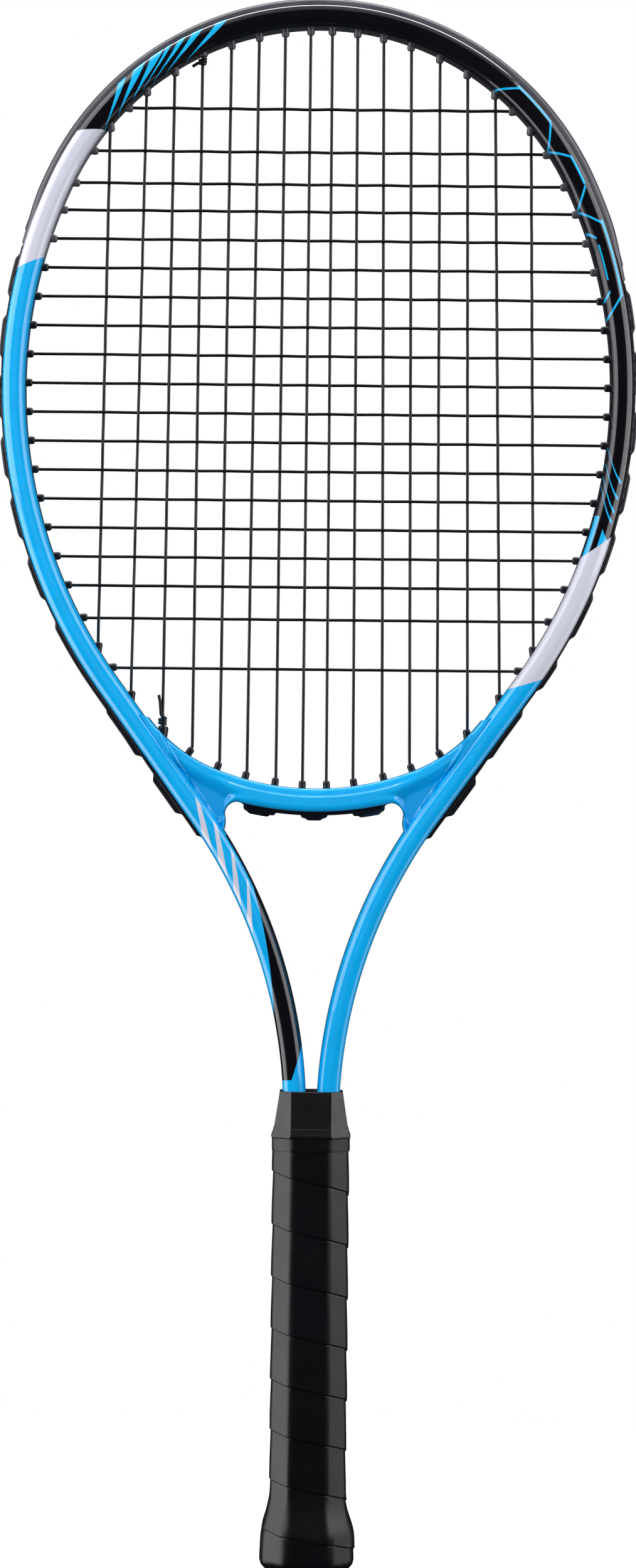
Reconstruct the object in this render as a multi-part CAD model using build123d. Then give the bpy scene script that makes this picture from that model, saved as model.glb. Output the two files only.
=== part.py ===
from build123d import *
import math
import os

# Tennis racket: a bent aluminium tube with a moulded throat bridge, a one-piece string
# bed in nylon grommet strips, and an octagonal handle with a wound grip.
# Frame of the model: +Z from the butt end to the crown, +X across the head,
# the front faces -Y, and the origin is the centre of the butt end face.

# Frame tube section and its bent centreline, one half from the crown down (mm, degrees)
LENGTH = 685.8
TUBE_WIDTH = 10.0
TUBE_DEPTH = 20.0
TUBE_CORNER = 4.6
TUBE_WALL = 1.0
BUMPER_THICK = 2.6
CROWN_RADIUS = 124.1
CROWN_TURN = 64.4
HEAD_HALF_WIDTH = 132.8
LOW_RADIUS = 221.5
SPLAY = 35.8
LEG_STRAIGHT = 69.8
SHOULDER_RADIUS = 227.5
TUBE_END_Z = 8.0

# Throat bridge
ARCH_LOW_Z = 340.9
ARCH_RADIUS = 118.0
ARCH_TURN = 22.0
ARCH_END_RADIUS = 67.0
ARCH_END_TURN = 53.0
BRIDGE_UNDER_Z = 330.7
BRIDGE_UNDER_RADIUS = 140.0
BRIDGE_DEPTH = 18.6
HORN_FILLET = 5.5
HORN_INNER_X = 39.1
HORN_SIDE_DROP = 1.7
HORN_ROUND = (38.0, 321.6)
HORN_TIP = (39.6, 320.6)
RIDGE_LOW = (45.8, 327.9)
TIP_OVERLAP = (3.8, 1.1)
BRIDGE_EDGE_ROUND = 3.0
BRIDGE_POCKET = 2.0
POCKET_CORNERS = [(39.5, 338.5), (46.5, 340.0), (52.0, 344.0), (44.5, 332.5)]

# String and its holes
STRING_D = 1.3
CROWN_MAINS = [4.7, 15.8, 27.2, 39.3, 51.9, 64.0, 76.2, 92.0]
THROAT_MAINS = [5.2, 16.85, 29.5, 41.5, 53.5, 66.7, 80.6, 95.2]
CROSS_TOP_Z = [637.8, 619.0, 604.9]
CROSS_PITCH = 12.63
CROSS_FIRST_EVEN_Z = 593.0
CROSS_EVEN_COUNT = 14
CROSS_LOW_Z = [414.6, 392.9]
WEAVE_RISE = 1.72
WEAVE_BEND = 1.6
OUTER_BEND = 1.3
LANE = 1.45
LANE_RUN = 3.2
TIE_ASIDE = 0.72
TIE_RETURN = 8.0
BRIDGE_WRAP = 2.2
SHOULDER_KNEES = {3: 8.0, 4: 4.0}
BUSH_DEPTH = 2.4
KNOT_TURNS = (1.6, 2.8)
KNOT_SLACK = 0.1

# Grommets and strips
BARREL_D = 3.0
BORE_D = 1.8
TIE_BARREL_D = 4.2
TIE_BORE_D = 3.0
BORE_MOUTH = 0.7
HOLE_CLEARANCE = 0.1
BARREL_REACH = 2.5
BRIDGE_REACH = 3.3
BEND_STANDOFF = 1.3
STRIP_THICK = 0.8
STRIP_WIDTH = 8.5
RIB_HEIGHT = 1.4
LOW_RIB_HEIGHT = 3.0
RIB_WIDTH = 1.4
RIB_OVERRUN = 1.8
NARROW_GROOVE = 1.8
WIDE_GROOVE = 4.6
BRIDGE_STRIP_THICK = 1.6
BRIDGE_STRIP_HALF = 32.0
BRIDGE_RIB_HEIGHT = 1.5
BUMPER_DEPTH = 15.0
BUMPER_WRAP = 1.5
BUMPER_FLOOR = 0.45
BUMPER_CORNER = 1.4
BUMPER_END_LEFT = 173.0
BUMPER_END_RIGHT = 187.0
STRIP_END = 452.0

# Bridge fixing screws
SCREW_D = 2.6
SCREW_HEAD_D = 4.6
SCREW_HEAD_H = 1.5
SCREW_BITE = 6.5
SCREW_CLEARANCE = 0.6

# Handle
GRIP_WIDTH = 33.2
GRIP_DEPTH = 30.2
GRIP_FLAT = 16.5
GRIP_THICK = 1.8
GRIP_TOP_Z = 189.9
TAPE_BOTTOM_Z = 182.8
TAPE_THICK = 0.4
COLLAR_TOP_Z = 208.9
COLLAR_TOP_WIDTH = 27.5
COLLAR_TOP_DEPTH = 23.4
COLLAR_FLAT = 17.6
PALLET_TOP_Z = 196.0
CAP_FLOOR = 3.0
BADGE_D = 21.0
BADGE_THICK = 1.0
STAPLE_WIRE = 0.7
STAPLE_SPAN = 10.0
STAPLE_LEG = 5.0
STAPLE_Z = 17.0
STAPLE_STAND = 3.2

HALF_W = TUBE_WIDTH / 2
BISECTIONS = 60
STRAIGHT_TURN = 0.002
FROM_BASE = (Align.CENTER, Align.CENTER, Align.MIN)


# ---------------------------------------------------------------- tube centreline
def stretches():
    """Bent tube as (kind, centre or start, radius, first normal angle, length), crown down.

    The outward normal is (sin a, cos a) in X and Z, with a measured from straight up."""
    turn = math.radians(CROWN_TURN)
    low = math.radians(90 + SPLAY)
    crown_z = LENGTH - BUMPER_THICK - HALF_W - CROWN_RADIUS
    side_radius = (HEAD_HALF_WIDTH - CROWN_RADIUS * math.sin(turn)) / (1 - math.sin(turn))
    side_z = crown_z + (CROWN_RADIUS - side_radius) * math.cos(turn)
    low_x = HEAD_HALF_WIDTH - LOW_RADIUS
    start_x = low_x + LOW_RADIUS * math.sin(low)
    start_z = side_z + LOW_RADIUS * math.cos(low)
    end_x = start_x + LEG_STRAIGHT * math.cos(low)
    end_z = start_z - LEG_STRAIGHT * math.sin(low)
    shoulder_x = end_x + SHOULDER_RADIUS * math.sin(low)
    shoulder_z = end_z + SHOULDER_RADIUS * math.cos(low)
    right = math.pi / 2
    return [
        ("bulge", (0, crown_z), CROWN_RADIUS, 0, CROWN_RADIUS * turn),
        ("bulge", (HEAD_HALF_WIDTH - side_radius, side_z), side_radius, turn, side_radius * (right - turn)),
        ("bulge", (low_x, side_z), LOW_RADIUS, right, LOW_RADIUS * (low - right)),
        ("line", (start_x, start_z), 0, low, LEG_STRAIGHT),
        ("hollow", (shoulder_x, shoulder_z), SHOULDER_RADIUS, low, SHOULDER_RADIUS * (low - right)),
        ("line", (shoulder_x - SHOULDER_RADIUS, shoulder_z), 0, right, shoulder_z - TUBE_END_Z),
    ]


STRETCHES = stretches()
TUBE_HALF_LENGTH = sum(piece[4] for piece in STRETCHES)
HEAD_HALF_LENGTH = sum(piece[4] for piece in STRETCHES[:3])
LEG_END = HEAD_HALF_LENGTH + LEG_STRAIGHT
WIDEST = STRETCHES[0][4] + STRETCHES[1][4]


def spot(s):
    """Centreline point, outward normal and direction of travel at signed length s."""
    left = abs(s)
    for kind, (x, z), radius, angle, length in STRETCHES:
        if left <= length:
            break
        left -= length
    if kind == "bulge":
        angle += left / radius
        x += radius * math.sin(angle)
        z += radius * math.cos(angle)
    elif kind == "hollow":
        angle -= left / radius
        x -= radius * math.sin(angle)
        z -= radius * math.cos(angle)
    else:
        x += left * math.cos(angle)
        z -= left * math.sin(angle)
    side = -1 if s < 0 else 1
    normal = Vector(side * math.sin(angle), 0, math.cos(angle))
    travel = Vector(math.cos(angle), 0, -side * math.sin(angle))
    return Vector(side * x, 0, z), normal, travel


def place(s, offset=0.0, y=0.0):
    point, normal, travel = spot(s)
    return point + normal * offset + Vector(0, y, 0)


def centreline(s_first, s_last):
    """Wire of lines and arcs along the tube between two signed lengths."""
    joints = []
    total = 0
    for piece in STRETCHES[:-1]:
        total += piece[4]
        joints += [total, -total]
    stops = [s_first] + sorted(j for j in joints if s_first < j < s_last) + [s_last]
    edges = []
    for a, b in zip(stops, stops[1:]):
        middle = place((a + b) / 2)
        if (middle - (place(a) + place(b)) / 2).length < 1e-6:
            edges.append(Line(place(a), place(b)))
        else:
            edges.append(ThreePointArc(place(a), middle, place(b)))
    return Wire([e.edge() for e in edges])


def run_along(section, s_first, s_last):
    """Sweep a section along the tube; its X is outwards and its Y runs front to back."""
    point, normal, travel = spot(s_first)
    start = Plane(origin=point, x_dir=normal, z_dir=travel)
    return sweep(start * section, path=centreline(s_first, s_last))


def solve(axis, target, low, high, inset):
    """Length s in low..high where the point inset from the centreline has the coordinate."""
    def value(s):
        return getattr(place(s, -inset), axis)

    rising = value(high) > value(low)
    for step in range(BISECTIONS):
        middle = (low + high) / 2
        if (value(middle) < target) == rising:
            low = middle
        else:
            high = middle
    return (low + high) / 2


def rod(start, end, diameter):
    direction = end - start
    return Plane(origin=start, z_dir=direction) * Cylinder(diameter / 2, direction.length, align=FROM_BASE)


# ---------------------------------------------------------------- string holes
OUT_OFFSET = HALF_W + STRIP_THICK + 0.1 + STRING_D / 2


def arch_spot(x_target, lift):
    """Point on the arch, and the direction out of the hoop there, whose lifted point has this X."""
    turn = math.radians(ARCH_TURN)
    centre = Vector(0, 0, ARCH_LOW_Z + ARCH_RADIUS)
    radius = ARCH_RADIUS
    if abs(x_target) > (ARCH_RADIUS - lift) * math.sin(turn):
        step = ARCH_RADIUS - ARCH_END_RADIUS
        centre += Vector(step * math.sin(turn), 0, -step * math.cos(turn))
        radius = ARCH_END_RADIUS
    angle = math.asin((abs(x_target) - centre.X) / (radius - lift))
    side = -1 if x_target < 0 else 1
    out = Vector(side * math.sin(angle), 0, -math.cos(angle))
    return Vector(side * centre.X, 0, centre.Z) + out * radius, out


def tube_port(side, axis, target, low, high, wrap=0.0):
    """A string hole straight through the tube, and through what wraps its inner side there."""
    reach = HALF_W + BARREL_REACH + wrap
    s = side * solve(axis, target, low, high, reach + BEND_STANDOFF)
    return {"kind": "tube", "s": s, "reach": reach,
            "points": [place(s, -reach - BEND_STANDOFF), place(s, OUT_OFFSET)]}


def bridge_port(x):
    """A string hole straight through the middle of the bridge."""
    surface, out = arch_spot(x, BRIDGE_REACH + BEND_STANDOFF)
    inside = surface - out * (BRIDGE_REACH + BEND_STANDOFF)
    under = Vector(0, 0, BRIDGE_UNDER_Z + BRIDGE_UNDER_RADIUS)
    reach = BRIDGE_UNDER_RADIUS + BRIDGE_STRIP_THICK + 0.1 + STRING_D / 2
    offset = inside - under
    along = offset.dot(out)
    travel = -along + math.sqrt(along ** 2 - offset.dot(offset) + reach ** 2)
    return {"kind": "bridge", "surface": surface, "out": out, "points": [inside, inside + out * travel]}


def shoulder_port(x, knee_depth):
    """A hole through the side of the bridge that turns once and leaves through the tube."""
    surface, out = arch_spot(x, BRIDGE_REACH + BEND_STANDOFF)
    knee = surface + out * knee_depth
    side = -1 if x < 0 else 1
    start, normal, travel = spot(side * HEAD_HALF_LENGTH)
    s = side * (HEAD_HALF_LENGTH + side * (knee - start).dot(travel))
    return {"kind": "shoulder", "s": s, "reach": HALF_W, "surface": surface, "out": out, "knee": knee,
            "points": [surface - out * (BRIDGE_REACH + BEND_STANDOFF), knee, place(s, OUT_OFFSET)]}


def main_name(side, rank, end):
    """Mains are numbered 1 to 16 from the left; rank 0 is next to the middle."""
    number = 8 - rank if side < 0 else 9 + rank
    return f"main_{number}_{end}"


def cross_heights():
    even = [CROSS_FIRST_EVEN_Z - CROSS_PITCH * k for k in range(CROSS_EVEN_COUNT)]
    return CROSS_TOP_Z + even + CROSS_LOW_Z


def throat_port(side, rank, x):
    """The lower hole of a main: through the bridge, its shoulder, its tip or the bare tube."""
    if rank < 3:
        return bridge_port(side * x)
    if rank in SHOULDER_KNEES:
        return shoulder_port(side * x, SHOULDER_KNEES[rank])
    wrap = BRIDGE_WRAP if rank == 5 else 0
    return tube_port(side, "X", x, WIDEST, LEG_END, wrap)


def string_ports():
    ports = {}
    for side in (-1, 1):
        for rank, x in enumerate(CROWN_MAINS):
            ports[main_name(side, rank, "crown")] = tube_port(side, "X", x, 0, STRETCHES[0][4])
        for rank, x in enumerate(THROAT_MAINS):
            ports[main_name(side, rank, "throat")] = throat_port(side, rank, x)
        for number, z in enumerate(cross_heights(), 1):
            name = f"cross_{number}_" + ("left" if side < 0 else "right")
            ports[name] = tube_port(side, "Z", z, 0, LEG_END)
    return ports


PORTS = string_ports()
TIE_PORTS = ("main_3_throat", "main_4_crown")


# ---------------------------------------------------------------- outside runs of the string
def outside_runs():
    """Every run of string on the outside of the frame: from, to and sideways lane."""
    runs = [("main_3_throat", "main_1_throat", -LANE)]
    for number in range(1, 16, 2):
        lane = LANE if number in (1, 15) else 0
        runs.append((f"main_{number}_crown", f"main_{number + 1}_crown", lane))
    for number in range(2, 15, 2):
        lane = LANE if number == 2 else 0
        runs.append((f"main_{number}_throat", f"main_{number + 1}_throat", lane))
    runs.append(("main_16_throat", "cross_19_right", 0))
    for number in range(19, 1, -1):
        side = "left" if number % 2 else "right"
        lane = {(19, "left"): LANE, (2, "right"): -LANE}.get((number, side), 0)
        runs.append((f"cross_{number}_{side}", f"cross_{number - 1}_{side}", lane))
    runs.append(("cross_1_left", "main_4_crown", -LANE))
    return runs


RUNS = outside_runs()


def lane_points(first, last, lane):
    """Corner points between two holes on the outside, kept clear of the holes passed."""
    a = PORTS[first]
    b = PORTS[last]
    if lane == 0:
        return []
    s_a, s_b = a["s"], b["s"]
    step = math.copysign(LANE_RUN, s_b - s_a)
    passed = [p["s"] for p in PORTS.values() if "s" in p and min(s_a, s_b) < p["s"] < max(s_a, s_b)]
    inner = [s for s in passed if min(abs(s - s_a), abs(s - s_b)) > 2 * LANE_RUN]
    stops = [s_a + step] + sorted(inner, reverse=s_b < s_a) + [s_b - step]
    return [place(s, OUT_OFFSET, lane) for s in stops]


def main_x(number, z):
    """X of a main string at a height between its two bends."""
    top = PORTS[f"main_{number}_crown"]["points"][0]
    bottom = PORTS[f"main_{number}_throat"]["points"][0]
    share = (z - bottom.Z) / (top.Z - bottom.Z)
    return bottom.X + (top.X - bottom.X) * share


def cross_weave(number, rightwards):
    """Points where a cross goes in front of or behind each main that it meets."""
    left = PORTS[f"cross_{number}_left"]["points"][0]
    right = PORTS[f"cross_{number}_right"]["points"][0]
    z = left.Z
    points = []
    for main in range(1, 17):
        x = main_x(main, z)
        if left.X + 1 < x < right.X - 1:
            side = 1 if (main + number) % 2 else -1
            points.append(Vector(x, side * WEAVE_RISE, z))
    return points if rightwards else points[::-1]


def port_corners(name):
    """Bend points of a hole, inside first; a shared hole holds its main string off centre."""
    points = PORTS[name]["points"]
    if name not in TIE_PORTS:
        return points
    aside = Vector(0, TIE_ASIDE, 0)
    towards = 1 if name.endswith("throat") else -1
    return [points[0] + Vector(0, 0, towards * TIE_RETURN)] + [p + aside for p in points]


def tie_corners(name):
    """The tied end in its shared hole, from the knot to the outside."""
    points = PORTS[name]["points"]
    mouth = points[0] + (points[1] - points[0]).normalized() * BEND_STANDOFF / 2
    return [p - Vector(0, TIE_ASIDE, 0) for p in [mouth] + points[1:]]


def run_corners(first, last):
    lane = next(r[2] for r in RUNS if r[:2] in ((first, last), (last, first)))
    return lane_points(first, last, lane)


def string_route():
    """Every corner of the string from one knot to the other, with how far back it bends."""
    route = []

    def follow(corners, bend=OUTER_BEND):
        route.extend((corner, bend) for corner in corners)

    def go_out_and_in(leaving, entering):
        follow(port_corners(leaving))
        follow(run_corners(leaving, entering))
        follow(port_corners(entering)[::-1])

    follow(tie_corners("main_3_throat"))
    follow(run_corners("main_3_throat", "main_1_throat"))
    follow(port_corners("main_1_throat")[::-1])
    for number in range(1, 16):
        end = "crown" if number % 2 else "throat"
        go_out_and_in(f"main_{number}_{end}", f"main_{number + 1}_{end}")
    go_out_and_in("main_16_throat", "cross_19_right")
    for number in range(19, 0, -1):
        rightwards = number % 2 == 0
        side = "right" if rightwards else "left"
        follow(cross_weave(number, rightwards), WEAVE_BEND)
        if number > 1:
            go_out_and_in(f"cross_{number}_{side}", f"cross_{number - 1}_{side}")
    follow(port_corners("cross_1_left"))
    follow(run_corners("cross_1_left", "main_4_crown"))
    follow(tie_corners("main_4_crown")[::-1])
    return route


def rounded_wire(route):
    """Lines joined by tangent arcs; each corner is cut back by its own bend length."""
    points = [p for p, bend in route]
    edges = []
    last = points[0]
    for before, (corner, bend), after in zip(points, route[1:], points[2:]):
        into = (corner - before).normalized()
        onward = (after - corner).normalized()
        half = math.radians(into.get_angle(onward)) / 2
        cut = min(bend, 0.45 * (corner - before).length, 0.45 * (after - corner).length)
        start = corner - into * cut
        end = corner + onward * cut
        if half < STRAIGHT_TURN:
            continue
        inward = (onward - into).normalized()
        radius = cut / math.tan(half)
        apex = corner + inward * (radius / math.cos(half) - radius)
        edges.append(Line(last, start).edge())
        edges.append(ThreePointArc(start, apex, end).edge())
        last = end
    edges.append(Line(last, points[-1]).edge())
    return Wire(edges)


# ---------------------------------------------------------------- frame tube
def tube_section():
    return RectangleRounded(TUBE_WIDTH, TUBE_DEPTH, TUBE_CORNER)


def tube_solid():
    """The bent tube as if it were a solid bar."""
    return run_along(tube_section(), -TUBE_HALF_LENGTH, TUBE_HALF_LENGTH)


def barrel_size(name):
    return (TIE_BARREL_D, TIE_BORE_D) if name in TIE_PORTS else (BARREL_D, BORE_D)


def flank_rod(name, diameter, inner, outer):
    """Rod on the axis of a hole in the tube, between two offsets from the centreline."""
    s = PORTS[name]["s"]
    return rod(place(s, inner), place(s, outer), diameter)


def barrel_rod(name):
    return flank_rod(name, barrel_size(name)[0], -PORTS[name]["reach"], HALF_W + STRIP_THICK / 2)


def bore_rods(name):
    """The bore of a barrel and the wider mouth where the string turns outside."""
    bore = barrel_size(name)[1]
    top = HALF_W + 2 * STRIP_THICK
    return [flank_rod(name, bore, -PORTS[name]["reach"] - 1, top),
            flank_rod(name, bore + BORE_MOUTH, HALF_W + STRIP_THICK / 3, top)]


def screw_length(side):
    """Tube length where the bridge screw sits, midway between the two lowest side holes."""
    lower = PORTS[main_name(side, 3, "throat")]["s"]
    upper = PORTS[main_name(side, 4, "throat")]["s"]
    return (lower + upper) / 2


def make_frame_tube(bar):
    core = run_along(
        RectangleRounded(TUBE_WIDTH - 2 * TUBE_WALL, TUBE_DEPTH - 2 * TUBE_WALL, TUBE_CORNER - TUBE_WALL),
        -TUBE_HALF_LENGTH, TUBE_HALF_LENGTH)
    cuts = []
    for name, port in PORTS.items():
        if port["kind"] != "bridge":
            cuts.append(flank_rod(name, barrel_size(name)[0] + HOLE_CLEARANCE, -HALF_W - 1, HALF_W + 1))
    for side in (-1, 1):
        s = screw_length(side)
        cuts.append(rod(place(s, 0), place(s, HALF_W + 1), SCREW_HEAD_D + SCREW_CLEARANCE))
        cuts.append(rod(place(s, 0), place(s, -HALF_W - 1), SCREW_D))
    return bar - core - cuts


def make_bridge_screws():
    screws = []
    for side in (-1, 1):
        s = screw_length(side)
        seat = -HALF_W + TUBE_WALL
        head = rod(place(s, seat), place(s, seat + SCREW_HEAD_H), SCREW_HEAD_D)
        shank = rod(place(s, -HALF_W - SCREW_BITE), place(s, seat), SCREW_D)
        drive = rod(place(s, seat + SCREW_HEAD_H / 2), place(s, seat + SCREW_HEAD_H), SCREW_HEAD_D / 3)
        screws.append(head + shank - drive)
    return Compound(children=[Solid(s.solid().wrapped) for s in screws])


# ---------------------------------------------------------------- throat bridge
def arch_point(angle, radius_step=0.0):
    """Point on the arch at an angle from straight down, moved outwards by radius_step."""
    turn = min(angle, math.radians(ARCH_TURN))
    x = ARCH_RADIUS * math.sin(turn)
    z = ARCH_LOW_Z + ARCH_RADIUS - ARCH_RADIUS * math.cos(turn)
    x += ARCH_END_RADIUS * (math.sin(angle) - math.sin(turn))
    z -= ARCH_END_RADIUS * (math.cos(angle) - math.cos(turn))
    return Vector(x + radius_step * math.sin(angle), 0, z - radius_step * math.cos(angle))


def bridge_half_edges():
    """Right half of the bridge outline, from the middle of the arch round to the underside."""
    first = math.radians(ARCH_TURN)
    last = math.radians(ARCH_END_TURN)
    tip_in = arch_point(last)
    tip_out = tip_in + Vector(TIP_OVERLAP[0], 0, TIP_OVERLAP[1])
    ridge_low = Vector(RIDGE_LOW[0], 0, RIDGE_LOW[1])
    horn_tip = Vector(HORN_TIP[0], 0, HORN_TIP[1])
    horn_round = Vector(HORN_ROUND[0], 0, HORN_ROUND[1])
    horn_side = Vector(HORN_INNER_X, 0, BRIDGE_UNDER_Z - HORN_SIDE_DROP)
    fillet_x = HORN_INNER_X - HORN_FILLET
    fillet_z = BRIDGE_UNDER_Z + BRIDGE_UNDER_RADIUS - math.sqrt(BRIDGE_UNDER_RADIUS ** 2 - fillet_x ** 2)
    fillet_end = Vector(fillet_x, 0, fillet_z)
    reach = HORN_FILLET * (1 - math.sqrt(0.5))
    fillet_mid = Vector(HORN_INNER_X - reach, 0, fillet_z - reach)
    half_x = fillet_x / 2
    half_z = BRIDGE_UNDER_Z + BRIDGE_UNDER_RADIUS - math.sqrt(BRIDGE_UNDER_RADIUS ** 2 - half_x ** 2)
    return [
        ThreePointArc(arch_point(0), arch_point(first / 2), arch_point(first)),
        ThreePointArc(arch_point(first), arch_point((first + last) / 2), tip_in),
        Line(tip_in, tip_out),
        Line(tip_out, ridge_low),
        Line(ridge_low, horn_tip),
        Line(horn_tip, horn_round),
        Line(horn_round, horn_side),
        ThreePointArc(horn_side, fillet_mid, fillet_end),
        ThreePointArc(fillet_end, Vector(half_x, 0, half_z), Vector(0, 0, BRIDGE_UNDER_Z)),
    ]


def bridge_pocket():
    """Sunk web between the arch and the leg, one side; it is cut from front and back."""
    corners = Polyline(*[(x, 0, z) for x, z in POCKET_CORNERS], close=True)
    outline = Wire([e.edge() for e in corners.edges()])
    return extrude(Face(outline), amount=BRIDGE_POCKET, dir=(0, 1, 0))


def make_bridge(bar):
    half = [e.edge() for e in bridge_half_edges()]
    outline = Wire(half + [e.mirror(Plane.YZ) for e in half])
    body = extrude(Face(outline), amount=BRIDGE_DEPTH / 2, dir=(0, 1, 0), both=True)
    arch_edges = [e for e in body.edges() if abs(abs(e.center().Y) - BRIDGE_DEPTH / 2) < 1e-3
                  and e.geom_type == GeomType.CIRCLE and ARCH_END_RADIUS - 1 < e.radius < ARCH_RADIUS + 1]
    body = fillet(arch_edges, BRIDGE_EDGE_ROUND)
    pocket = bridge_pocket()
    lift = BRIDGE_DEPTH / 2
    cuts = [bar]
    for cut in (pocket, pocket.mirror(Plane.YZ)):
        cuts.append(Pos(0, -lift, 0) * cut)
        cuts.append(Pos(0, lift - BRIDGE_POCKET, 0) * cut)
    for name, port in PORTS.items():
        diameter = barrel_size(name)[0] + HOLE_CLEARANCE
        if port["kind"] == "bridge":
            inside, under = port["points"]
            cuts.append(rod(inside, under, diameter))
        if port["kind"] == "tube" and port["reach"] > HALF_W + BARREL_REACH:
            cuts.append(flank_rod(name, diameter, -port["reach"], 0))
        if port["kind"] == "shoulder":
            cuts.append(rod(port["points"][0], port["knee"], diameter))
            cuts.append(Pos(*port["knee"]) * Sphere(diameter / 2))
            cuts.append(rod(port["knee"], place(port["s"], 0), diameter))
    for side in (-1, 1):
        s = screw_length(side)
        cuts.append(rod(place(s, -HALF_W - SCREW_BITE), place(s, 0), SCREW_D))
    return body - cuts


# ---------------------------------------------------------------- grommets
def ribs(groove, height):
    """Section of the two ribs that guard a run of string."""
    low = HALF_W + STRIP_THICK / 2
    high = HALF_W + STRIP_THICK + height
    middle = Pos((low + high) / 2, 0)
    shift = (groove + RIB_WIDTH) / 2
    return [middle * Pos(0, side * shift) * Rectangle(high - low, RIB_WIDTH) for side in (-1, 1)]


def ports_between(s_first, s_last):
    return [name for name, port in PORTS.items() if "s" in port and s_first < port["s"] < s_last]


def make_strip(side):
    """One side grommet strip: a thin band, its barrels and ribs beside each run."""
    start = BUMPER_END_RIGHT if side > 0 else BUMPER_END_LEFT
    span = sorted((side * start, side * STRIP_END))
    band_section = Pos(HALF_W + STRIP_THICK / 2, 0) * Rectangle(STRIP_THICK, STRIP_WIDTH)
    strip = run_along(band_section, *span)
    inside = ports_between(*span)
    adds = [barrel_rod(name) for name in inside]
    bores = [bore for name in inside for bore in bore_rods(name)]
    for first, last, lane in RUNS:
        if first in inside and last in inside:
            low_run = PORTS[first]["kind"] == "shoulder" or first.endswith("throat") and lane > 0
            groove = WIDE_GROOVE if lane or first in TIE_PORTS or last in TIE_PORTS else NARROW_GROOVE
            ends = sorted((PORTS[first]["s"], PORTS[last]["s"]))
            for section in ribs(groove, LOW_RIB_HEIGHT if low_run else RIB_HEIGHT):
                adds.append(run_along(section, ends[0] - RIB_OVERRUN, ends[1] + RIB_OVERRUN))
    return strip + adds - bores


def make_bumper():
    """Bumper guard over the crown: a channel for the string runs, with its own barrels."""
    outer_x = HALF_W + BUMPER_THICK
    inner_x = HALF_W - BUMPER_WRAP
    block = RectangleRounded(outer_x - inner_x, BUMPER_DEPTH, BUMPER_CORNER)
    block = Pos((outer_x + inner_x) / 2, 0) * block
    floor_x = HALF_W + BUMPER_FLOOR
    groove = Pos(floor_x + BUMPER_THICK, 0) * Rectangle(2 * BUMPER_THICK, WIDE_GROOVE)
    section = block - groove - tube_section()
    bumper = run_along(section, -BUMPER_END_LEFT, BUMPER_END_RIGHT)
    inside = ports_between(-BUMPER_END_LEFT, BUMPER_END_RIGHT)
    below_floor = Pos(floor_x - TUBE_WIDTH, 0) * Rectangle(2 * TUBE_WIDTH, STRIP_WIDTH)
    barrels = []
    for name in inside:
        s = PORTS[name]["s"]
        barrels.append(barrel_rod(name) & run_along(below_floor, s - BARREL_D, s + BARREL_D))
    return bumper + barrels - [bore for name in inside for bore in bore_rods(name)]


def under_point(x, drop=0.0):
    """Point below the underside of the bridge, and the direction straight out of it."""
    angle = math.asin(x / BRIDGE_UNDER_RADIUS)
    centre_z = BRIDGE_UNDER_Z + BRIDGE_UNDER_RADIUS
    radius = BRIDGE_UNDER_RADIUS + drop
    return Vector(radius * math.sin(angle), 0, centre_z - radius * math.cos(angle))


def run_under(section, x_first, x_last):
    """Sweep a section along the underside of the bridge; its X is downwards."""
    path = ThreePointArc(under_point(x_first), under_point((x_first + x_last) / 2), under_point(x_last))
    point = under_point(x_first)
    down = (under_point(x_first, 1) - point).normalized()
    travel = Vector(-down.Z, 0, down.X)
    return sweep(Plane(origin=point, x_dir=down, z_dir=travel) * section, path=Wire([path.edge()]))


def make_bridge_strip():
    """Strip under the bridge with its six barrels and three pairs of ribs."""
    band = Pos(BRIDGE_STRIP_THICK / 2, 0) * Rectangle(BRIDGE_STRIP_THICK, STRIP_WIDTH)
    strip = run_under(band, -BRIDGE_STRIP_HALF, BRIDGE_STRIP_HALF)
    adds = []
    bores = []
    for name, port in PORTS.items():
        if port["kind"] == "bridge":
            inside, under = port["points"]
            tip = port["surface"] - port["out"] * BRIDGE_REACH
            adds.append(rod(tip, under - port["out"], BARREL_D))
            bores.append(rod(inside, under, BORE_D))
            bores.append(rod(under - port["out"] * STRIP_THICK, under, BORE_D + BORE_MOUTH))
    for first, last, lane in RUNS:
        if PORTS[first]["kind"] == "bridge" and PORTS[last]["kind"] == "bridge":
            ends = sorted((PORTS[first]["points"][1].X, PORTS[last]["points"][1].X))
            for side in (-1, 1):
                shift = side * (NARROW_GROOVE + RIB_WIDTH) / 2
                rib = Pos(BRIDGE_STRIP_THICK, shift) * Rectangle(2 * BRIDGE_RIB_HEIGHT, RIB_WIDTH)
                adds.append(run_under(rib, ends[0] - RIB_OVERRUN, ends[1] + RIB_OVERRUN))
    return strip + adds - bores


def make_shoulder_bushes(bar):
    """Short bushes at the arch for the six strings that leave through the tube."""
    bushes = []
    for name, port in PORTS.items():
        if port["kind"] != "shoulder":
            continue
        barrel, bore = barrel_size(name)
        tip = port["surface"] - port["out"] * BRIDGE_REACH
        foot = port["surface"] + port["out"] * BUSH_DEPTH
        mouth = port["surface"] - port["out"] * (BRIDGE_REACH + BEND_STANDOFF)
        bushes.append(rod(tip, foot, barrel) - rod(mouth, port["knee"], bore))
    return Compound(children=[Solid(b.solid().wrapped) for b in bushes])


# ---------------------------------------------------------------- string
def make_string():
    path = rounded_wire(string_route())
    start = Plane(origin=path @ 0, z_dir=path % 0)
    return sweep(start * Circle(STRING_D / 2), path=path)


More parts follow.
